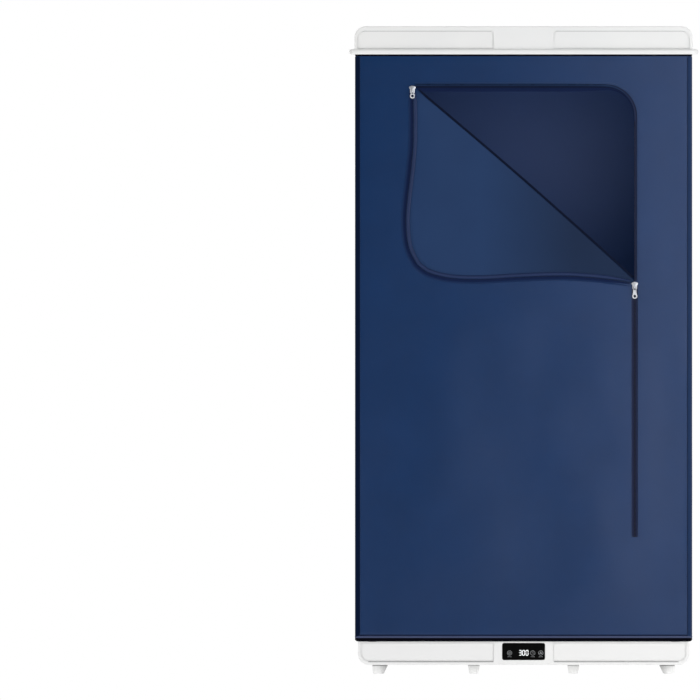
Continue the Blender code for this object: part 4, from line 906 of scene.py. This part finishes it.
def hood_width(share):
    """The turned edge is widest along the top and runs out below the corner."""
    return 1.0 - 0.92 * ease(share, hood_ends, 1.0)


hooded = zip_edge(step=0.008)
hooded = hooded[:round(len(hooded) * hood_ends)]
hood = strip(0.0020, 0.0074, tape_out + 0.0001, 0.0008)
turned_edge = ribbon_piece("door_turned_edge", painted_lit_binding, hooded, hood, hood_width)
# The facing is painted dark: painted shade under the hood.
facing = strip(-0.0094, 0.0010, -0.0024, 0.0008)
facing_shade = ribbon_piece("door_facing_painted_shade", tape_and_shade_navy, hooded, facing, hood_width)
seam_half = 0.0007
# The hood's inner half, the seam lines and the lines along the closed zip: painted shade.
shape = bmesh.new()
lay_ribbon(shape, hooded, strip(-0.0014, 0.0028, tape_out + 0.0002, 0.0009), hood_width)
tape_seam = zip_edge(out=seen_tape - 0.0006, step=0.008)
lay_ribbon(shape, tape_seam, strip(-seam_half, 0.0008, tape_out, 0.0009))
for side in (-1, 1):
    x = side * (half_width - binding_reach - 0.0002)
    tall = cover_high.z - hem_bottom - 0.027
    seam_line = [Vector((x, hem_bottom + 0.016 + tall * step / 32)) for step in range(33)]
    lay_ribbon(shape, seam_line, strip(-seam_half, seam_half, 0.0, 0.0002))
for side_shift in (0.0, closed_half - 0.0012):
    moved = [point + Vector((side_shift, 0)) for point in closed_line]
    lay_ribbon(shape, moved, strip(-seam_half, seam_half, tape_out, tape_thick + 0.0001))
seams_and_shade = make_piece("door_seams_and_shade", shape, seam_shadow)
print("turned edge", len(turned_edge.data.polygons), "faces")

# %% [markdown]
# ## The flap
# The unzipped corner of the door hangs down over the front. It is one sheet: at the fold it turns over in
# a small round bend, it swells softly in its middle because the cloth is springy, and it lies back on
# the cover at its free edge. The free edge was drawn as a smooth line through a few given points.

# %% The flap's free edge
free_points = [
    (-0.2372, 1.2490), (-0.2370, 1.2322), (-0.2366, 1.2107), (-0.2362, 1.1894), (-0.2366, 1.1679),
    (-0.2366, 1.1465), (-0.2379, 1.1252), (-0.2409, 1.0931), (-0.2445, 1.0609), (-0.2497, 1.0178),
    (-0.2525, 0.9744), (-0.2495, 0.9307), (-0.2417, 0.9040), (-0.2295, 0.8818), (-0.2220, 0.8742),
    (-0.2016, 0.8614),
    (-0.1576, 0.8511), (-0.0926, 0.8487), (-0.0065, 0.8532), (0.0793, 0.8556), (0.1435, 0.8524),
    (0.1863, 0.8477), (0.2120, 0.8438), (0.2334, 0.8400),
]


def smooth_line(points, steps):
    """A smooth curve through the points."""
    points = [Vector(point) for point in points]
    curve = []
    last = len(points) - 1
    for index in range(last):
        before, start = points[max(index - 1, 0)], points[index]
        end, after = points[index + 1], points[min(index + 2, last)]
        for step in range(steps):
            t = step / steps
            bend = (2 * start - 2 * end + (end - before) / 2 + (after - start) / 2) * t ** 3
            lean = (3 * end - 3 * start - (end - before) - (after - start) / 2) * t ** 2
            curve.append(start + (end - before) / 2 * t + lean + bend)
    curve.append(points[last])
    return curve


def even_count(points, count):
    """The same line with the given number of even steps."""
    total = sum((b - a).length for a, b in zip(points, points[1:]))
    spaced, walked, index = [points[0]], 0.0, 0
    for step in range(1, count):
        goal = total * step / count
        while walked + (points[index + 1] - points[index]).length < goal:
            walked += (points[index + 1] - points[index]).length
            index += 1
        share = (goal - walked) / (points[index + 1] - points[index]).length
        spaced.append(points[index].lerp(points[index + 1], share))
    return spaced + [points[-1]]


flap_columns = 72
free_edge = even_count(smooth_line(free_points, 10), flap_columns)
print("free edge", round(sum((b - a).length for a, b in zip(free_edge, free_edge[1:])) * 1000), "mm")

# %% Sew the flap's sheet
flap_rows = 26
fold_radius = 0.0013
flap_swell = 0.0034
flap_out = 0.0012
fold_normal = Vector((-(fold_end - fold_start).y, (fold_end - fold_start).x)).normalized()
fold_normal = fold_normal if fold_normal.x > 0 else -fold_normal


def flap_depth(across, down):
    """How far the flap stands off the wall."""
    swell = math.sin(math.pi * across) ** 0.7 * math.sin(math.pi * down) ** 0.8
    ripple = noise.noise(Vector((across * 3.1, down * 2.2, 4.0)))
    return flap_out + flap_swell * swell * (1 + 0.35 * ripple)


shape = bmesh.new()
rings = []
for column in range(flap_columns + 1):
    across = column / flap_columns
    fold, edge = fold_point(across), free_edge[column]
    line = []
    close = math.sin(math.pi * min(1, max(0, across * 8 if across < 0.0625 else (1 - across) * 8)) / 2)
    bend = fold_radius * (0.15 + 0.85 * min(1.0, close))
    for turn in range(7):
        angle = math.pi * turn / 6
        spot = fold + fold_normal * (bend * math.sin(angle) - bend * 0.4)
        line.append((spot.x, front + bend * (math.cos(angle) - 1) * 0.9 + 0.0004, spot.y))
    for row in range(1, flap_rows + 1):
        down = row / flap_rows
        spot = fold.lerp(edge, down)
        lift = flap_depth(across, down) + (1 - down) ** 6 * bend * 0.6
        line.append((spot.x, front - lift, spot.y))
    rings.append(line)
join_rings(shape, rings, closed_ring=False, cap=False)
flap_area = sum(face.calc_area() for face in shape.faces)
flap_cloth = make_piece("flap_cloth", shape, flap_lining_shaded)
thicken(flap_cloth)
flap_cloth.data.shade_smooth()
print("flap", round(flap_area, 4), "square metres of cloth")

# %% [markdown]
# ## The flap's bound edge
# The edge is a soft round binding, 7 mm wide, with the other half of the zip sewn to it. The tape and
# its coil show as a dark line outside the binding; the tape is painted darker, and a strip outside it
# painted a little less dark, as the painted shadow that the flap casts on the cover. A dark strip of
# painted shade lines the fold, where the cloth turns over.

# %% Binding and coil on the flap
bound = even_path(free_edge, 0.006)
inward = 0.0042


def moved_in(path, distance):
    """The path moved towards the flap's middle."""
    return [point - side * distance for point, (along, side) in zip(path, directions(path))]


def end_taper(share):
    """The binding is pinched where it runs under the sliders."""
    return 0.4 + 0.6 * min(1.0, share / 0.02, (1 - share) / 0.06)


turn_check = directions(free_edge)[flap_columns // 2][1]
middle = fold_point(0.5) - free_edge[flap_columns // 2]
if turn_check.dot(middle) > 0:
    inward = -inward
binding_line = moved_in(bound, inward)
round_section = [
    (0.0036 * math.cos(math.radians(30 * side)), 0.0027 + 0.0024 * math.sin(math.radians(30 * side)))
    for side in range(12)
]
flap_edge_binding = ribbon_piece(
    "flap_edge_binding", flap_binding, binding_line, round_section, end_taper
)
# The flap's tape is painted dark, partly as the flap's shadow on the cover.
outer_line = moved_in(bound, -inward * 0.36)
tape_section = [(-0.0050, 0.0004), (-0.0050, 0.0011), (0.0036, 0.0013), (0.0036, 0.0004)]
flap_zip_tape = ribbon_piece("flap_zip_tape", tape_and_shade_navy, outer_line, tape_section, end_taper)
# A strip of painted shadow: the soft edge of the flap's shadow.
outermost_line = moved_in(bound, -inward * 1.9)
edge_section = strip(-0.0022, 0.0022, 0.0002, 0.0005)
flap_shadow_edge = ribbon_piece("flap_shadow_edge", shadow_edge_navy, outermost_line, edge_section, end_taper)

shape = bmesh.new()
lay_blocks(shape, moved_in(bound, -inward * 0.15), tooth_pitch, (0.0011, 0.0016, 0.0007), 0.0010)
flap_zip_coil = make_piece("flap_zip_coil", shape, nylon_coil)

# A dark strip of painted shade along the fold's inner side.
fold_line = [fold_point(0.012 + 0.976 * step / 60) for step in range(61)]
fold_painted_shade = ribbon_piece("fold_painted_shade", seam_shadow, fold_line, strip(0.0, 0.0062, -0.0016, 0.0006))
print("bound edge", len(binding_line), "points")

# %% [markdown]
# ## Sliders and pulls
# The CAD solids already have the sliders' wedge, bridge and the pulls' holes. They are copied, their
# edges are rounded as die casting leaves them, and each rides on its own body.

# %% Die-cast sliders and pulls
def widen_hole(shape, low, high):
    """Countersink a pull's hole: its edge points move out by a quarter."""
    centre = Vector(((low.x + high.x) / 2, 0, low.z + (high.x - low.x) / 2))
    for vert in shape.verts:
        away = Vector((vert.co.x - centre.x, 0, vert.co.z - centre.z))
        if away.length < 0.0029:
            vert.co += away * 0.28


def cast_copy(name, node_name, body):
    """A copy of a CAD node with its corners softened, which stands for it."""
    source = nodes[node_name]
    shape = bmesh.new()
    shape.from_mesh(source.data)
    bmesh.ops.remove_doubles(shape, verts=shape.verts, dist=0.00001)
    if "pull" in node_name:
        widen_hole(shape, *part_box(node_name))
    bmesh.ops.dissolve_limit(shape, angle_limit=math.radians(1), verts=shape.verts, edges=shape.edges)
    piece = make_piece(name, shape, nickel_plate)
    rounding = piece.modifiers.new("cast_edges", "BEVEL")
    rounding.width = 0.00028
    rounding.segments = 2
    rounding.limit_method = "ANGLE"
    rounding.angle_limit = math.radians(30)
    collapse(piece, body)
    piece.data.shade_smooth()
    piece.data.set_sharp_from_angle(angle=crease)
    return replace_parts(piece, node_name)


cast_pieces = [
    cast_copy(f"cast_{kind}_{place}", f"zip_{kind}_{place}", f"zip_{kind}_{place}_body")
    for kind in ("slider", "pull")
    for place in ("side", "top")
]
print("cast pieces", [piece.name for piece in cast_pieces])

# %% [markdown]
# ## Stitches
# A line of stitches holds each band: along the zip tape, inside the flap's binding, beside the corner
# bindings and over the hem. A stitch is 2.6 mm of thread, and slants into the cloth at both ends.

# %% Sew the stitches
stitch = (0.0026, 0.0006, 0.0003)
stitch_pitch = 0.004
shape = bmesh.new()
lay_blocks(shape, zip_edge(out=tape_width + 0.0022), stitch_pitch, stitch, 0.0)
for side_shift in (-closed_half + 0.0013, closed_half - 0.0013):
    lay_blocks(shape, closed_line, stitch_pitch, stitch, tape_out + tape_thick - 0.0001, side_shift)
lay_blocks(shape, moved_in(bound, inward * 2.9), stitch_pitch, stitch, 0.0024)
for way in (-1, 1):
    x = way * (half_width - binding_reach - 0.0015)
    edge_line = [Vector((x, hem_bottom + 0.014)), Vector((x, cover_high.z - 0.012))]
    lay_blocks(shape, edge_line, stitch_pitch, stitch, 0.0)
hem_line = [Vector((way * (half_width - 0.012), hem_bottom + 0.0138)) for way in (-1, 1)]
lay_blocks(shape, hem_line, stitch_pitch, stitch, 0.0)
front_stitches = make_piece("front_stitches", shape, sewing_thread)
print("stitches", len(front_stitches.data.polygons) // 6)

# %% [markdown]
# ## Hang the cloth on the frame
# Every soft piece rides on the base. The lid's hollow flange has 5 mm of room for the cloth.

trims = [bottom_roll, hem_shade_strip, bottom_binding, top_binding, *corner_bindings]
door_trims = [cover_zip_tape, cover_zip_coil, turned_edge, facing_shade, seams_and_shade, front_stitches]
flap_trims = [flap_edge_binding, flap_zip_tape, flap_shadow_edge, flap_zip_coil, fold_painted_shade]
for piece in (cover_cloth, *trims):
    collapse(piece)
for piece in door_trims:
    collapse(piece)
for piece in (flap_cloth, *flap_trims):
    collapse(piece)
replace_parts(cover_cloth, "fabric_cover")
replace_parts(cover_zip_tape, "door_zip")
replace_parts(flap_cloth, "door_flap")

tall = cover_high.z - cover_low.z

# %% [markdown]
# ## Painted shade in the grooves along the panels
# Under each of the base's front panels, and above each of the lid's, the mould leaves a groove about a
# millimetre wide. It is too narrow for light to get in, so a thin grey strip of painted shade lies in it.

# %% Lay the painted shade in the grooves
def groove(shape, path, wide, face, proud):
    """A strip on an upright front face along a path in the XZ plane, thinner towards its end."""
    rings = []
    for index, (point, (along, side)) in enumerate(zip(path, directions(path))):
        half = wide / 2 * (1 - 0.6 * (index / (len(path) - 1)) ** 6)
        rings.append([
            (point.x + side.x * across, face - out, point.y + side.y * across)
            for across, out in ((-half, -0.0005), (-half, proud), (half, proud), (half, -0.0005))
        ])
    join_rings(shape, rings)


def panel_grooves(body, line, wide, face, proud, finish):
    """Strips of painted shade in the grooves of a body's left and right front panels."""
    shape = bmesh.new()
    for way in (-1, 1):
        groove(shape, [Vector((way * x, z)) for x, z in line], wide, face, proud)
    grooves = make_piece(body + "_panel_groove_shade", shape, finish)
    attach(grooves, body)
    return grooves


base_face, lid_face = glass_front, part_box("lid_shell")[0].y + 0.0078
base_line = [(0.0650, 0.0257), (0.20, 0.0257), (0.3300, 0.0257), (0.3345, 0.0257)]
base_grooves = panel_grooves("base", base_line, 0.0015, base_face, 0.0004, groove_shade_grey)
lid_line = [(0.0690, 1.3815), (0.20, 1.3815), (0.3400, 1.3815), (0.3445, 1.3810), (0.3485, 1.3793)]
lid_grooves = panel_grooves("lid", lid_line, 0.0010, lid_face, 0.0020, groove_shade_pale)
print("grooves", len(base_grooves.data.polygons) + len(lid_grooves.data.polygons), "faces")

# %% [markdown]
# ## The display
# Behind the window sits a module of three seven-segment digits, 12 mm high. Round key marks with short
# captions are printed to the left and right. They are generic marks: a power ring, a clock and a fan.

# %% Digits
segment = 0.0011
digit_wide, digit_tall, digit_pitch = 0.0058, 0.0118, 0.0074
lit = {"3": "abgcd", "0": "abcdef"}
bars = {
    "a": ((0, 1), (1, 1)), "b": ((1, 1), (1, 0.5)), "c": ((1, 0.5), (1, 0)), "d": ((1, 0), (0, 0)),
    "e": ((0, 0), (0, 0.5)), "f": ((0, 0.5), (0, 1)), "g": ((0, 0.5), (1, 0.5)),
}


off_glass = 0.00002


def flat_plate(shape, outline, out):
    """A thin plate just off the window: a closed outline in x and z, up to a distance from it."""
    join_rings(shape, [[(x, glass_front - y, z) for x, z in outline] for y in (off_glass, out)])


def lay_bar(shape, start, end, width, trim=0.0):
    """A bar with pointed ends from start to end."""
    start, end = Vector(start), Vector(end)
    along = (end - start).normalized()
    side = Vector((-along.y, along.x)) * width / 2
    start, end = start + along * trim, end - along * trim
    point = along * width / 2
    outline = [start, start + point + side, end - point + side, end, end - point - side,
               start + point - side]
    flat_plate(shape, outline, 0.00012)


shape = bmesh.new()
digits_left = -0.0103
digits_low = 0.0391
for index, digit in enumerate("300"):
    left = digits_left + index * digit_pitch + segment / 2
    for name in lit[digit]:
        (x0, z0), (x1, z1) = bars[name]
        wide, high = digit_wide - segment, digit_tall - segment
        start = (left + x0 * wide, digits_low + segment / 2 + z0 * high)
        end = (left + x1 * wide, digits_low + segment / 2 + z1 * high)
        lay_bar(shape, start, end, segment, segment * 0.12)
lit_digits = make_piece("lit_digits", shape, lit_segment)
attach(lit_digits, "base")
print("digits", len(lit_digits.data.polygons), "faces")

# %% Printed key marks
def lay_ring(shape, centre, radius, width, start=0, end=360, steps=28):
    """Part of a flat ring."""
    outer, inner = [], []
    for step in range(steps + 1):
        angle = math.radians(start + (end - start) * step / steps)
        way = Vector((math.cos(angle), math.sin(angle)))
        outer.append(Vector(centre) + way * (radius + width / 2))
        inner.append(Vector(centre) + way * (radius - width / 2))
    for place in range(steps):
        quad = [outer[place], outer[place + 1], inner[place + 1], inner[place]]
        flat_plate(shape, quad, 0.00009)


shape = bmesh.new()
power_x, clock_x, fan_x = -0.0301, 0.0198, 0.0370
mark_z = 0.0447
key_line = 0.0006
for x in (power_x, clock_x, fan_x):
    lay_ring(shape, (x, mark_z), 0.0048, key_line)
    for word in range(4):
        left = x - 0.0042 + word * 0.0022
        lay_bar(shape, (left, mark_z - 0.0082), (left + 0.0017, mark_z - 0.0082), 0.0009)
lay_ring(shape, (power_x, mark_z - 0.0002), 0.0022, key_line, 120, 420, 16)
lay_bar(shape, (power_x, mark_z + 0.0005), (power_x, mark_z + 0.0030), key_line)
lay_bar(shape, (clock_x, mark_z - 0.0002), (clock_x, mark_z + 0.0028), key_line)
lay_bar(shape, (clock_x, mark_z), (0.0219, mark_z - 0.0012), key_line)
for blade in range(3):
    angle = math.radians(90 + 120 * blade)
    tip = Vector((fan_x, mark_z)) + Vector((math.cos(angle), math.sin(angle))) * 0.0030
    lay_bar(shape, (fan_x, mark_z), tip, 0.0012)
key_marks = make_piece("key_marks", shape, key_print)
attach(key_marks, "base")
print("key marks", len(key_marks.data.polygons), "faces")

# %% [markdown]
# ## Floor, studio and camera
# The floor is matt white. Seen by the camera it is mixed with plain white, so that it melts into the
# background and still keeps the soft shadow under the dryer. The world is white where the camera sees it;
# as light it is dimmer, and reflections see it brighter behind the dryer than in front of it.

# %% Floor
floor_white, tree, shader = new_finish("matt_floor_white", {"Roughness": 0.9})
tint(tree, shader, pattern(tree, 2.0, 2.0), "#ececec", "#f2f2f2")
rays = add_node(tree, "LightPath").outputs
seen = reckon(tree, "MAXIMUM", rays["Is Camera Ray"], rays["Is Glossy Ray"])
seen = reckon(tree, "MAXIMUM", seen, rays["Is Transmission Ray"])
share = reckon(tree, "MAXIMUM", reckon(tree, "MULTIPLY", seen, 0.8), 0.4)
glow = add_node(tree, "Emission", {"Color": (1, 1, 1, 1), "Strength": 1.17}).outputs[0]
mixed = add_node(tree, "MixShader", {0: share, 1: shader.outputs[0], 2: glow})
tree.links.new(mixed.outputs[0], tree.nodes["Material Output"].inputs["Surface"])

shape = bmesh.new()
bmesh.ops.create_circle(shape, cap_ends=True, segments=96, radius=14)
studio_floor = make_piece("studio_floor", shape, floor_white)
studio_floor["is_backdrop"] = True
print("floor at z = 0")

# %% World
world = bpy.data.worlds.new("studio_world")
bpy.context.scene.world = world
world.use_nodes = True
tree = world.node_tree
background = tree.nodes["Background"]
rays = add_node(tree, "LightPath").outputs
way = add_node(tree, "SeparateXYZ", {"Vector": add_node(tree, "TexCoord").outputs["Generated"]})
front_to_back = {"From Min": -0.7, "From Max": 0.1, "To Min": 0.02, "To Max": 0.75}
mirror = add_node(tree, "MapRange", {"Value": way.outputs["Y"], **front_to_back}).outputs[0]
glossy = reckon(tree, "MAXIMUM", rays["Is Glossy Ray"], rays["Is Transmission Ray"])
ambient = 0.34
level = add_node(tree, "Mix", {"Factor": glossy, "A": ambient, "B": mirror}, data_type="FLOAT")
levels = {"Factor": rays["Is Camera Ray"], "A": level.outputs["Result"], "B": 1.0}
strength = add_node(tree, "Mix", levels, data_type="FLOAT")
background.inputs["Color"].default_value = (1, 1, 1, 1)
tree.links.new(strength.outputs["Result"], background.inputs["Strength"])
print("ambient light", ambient)

# %% Lamps
def softbox(name, place, target, size, power):
    """A rectangular soft lamp that faces its target."""
    lamp = bpy.data.lights.new(name, "AREA")
    lamp.shape = "RECTANGLE"
    lamp.size, lamp.size_y = size
    lamp.energy = power
    holder = bpy.data.objects.new(name, lamp)
    holder.location = place
    holder.rotation_euler = (Vector(target) - Vector(place)).to_track_quat("-Z", "Y").to_euler()
    bpy.context.scene.collection.objects.link(holder)
    return holder


softbox("key_softbox", (3.4, -1.9, 1.1), (0, -0.2, 0.7), (0.7, 1.4), 43)
softbox("sheen_panel", (1.06, -3.2, 1.0), (0.53, 0, 1.0), (1.6, 3.6), 43.5)
softbox("fill_softbox", (-3.0, -1.9, 0.7), (0, 0, 0.6), (1.4, 1.6), 31)
softbox("chamber_lamp", (0.03, -0.2, 1.12), (0.03, 0.2, 1.12), (0.48, 0.25), 0.58)
softbox("rear_softbox", (-0.4, 3.0, 1.4), (0, 0, 0.7), (2.0, 1.6), 34)
softbox("top_softbox", (0, 0.1, 3.2), (0, 0.1, 1.4), (1.4, 0.9), 13)
print("six lamps")

# %% [markdown]
# ## Camera
# The dryer is seen from straight ahead, and no underside shows at the lid's flange, so the view is drawn
# flat. A lens would have to stand more than 100 m off for that, so the camera is orthographic: its scale
# is the width of the picture in metres. It stands left of the dryer, which is then right of the middle.

# %% Place the camera
picture_width = 1.505
left_of_dryer, stand_off, eye_height = 0.3732, 2.4, 0.696
camera_data = bpy.data.cameras.new("front_camera")
camera_data.type = "ORTHO"
camera_data.ortho_scale = picture_width
camera = bpy.data.objects.new("front_camera", camera_data)
camera.location = (-left_of_dryer, front - stand_off, eye_height)
camera.rotation_euler = (math.pi / 2, 0, 0)
bpy.context.scene.collection.objects.link(camera)
bpy.context.scene.camera = camera
bpy.context.scene.view_settings.view_transform = "Standard"
print("camera at", [round(v, 3) for v in camera.location])

# %% [markdown]
# ## The dressed dryer's box
# The dressed dryer should stay inside the CAD model's box, apart from a little stand of the cloth. Its box
# is printed.

# %% Print the dressed dryer's box
low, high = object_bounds()
print("visual box", [round(v, 4) for v in (*low, *high)])
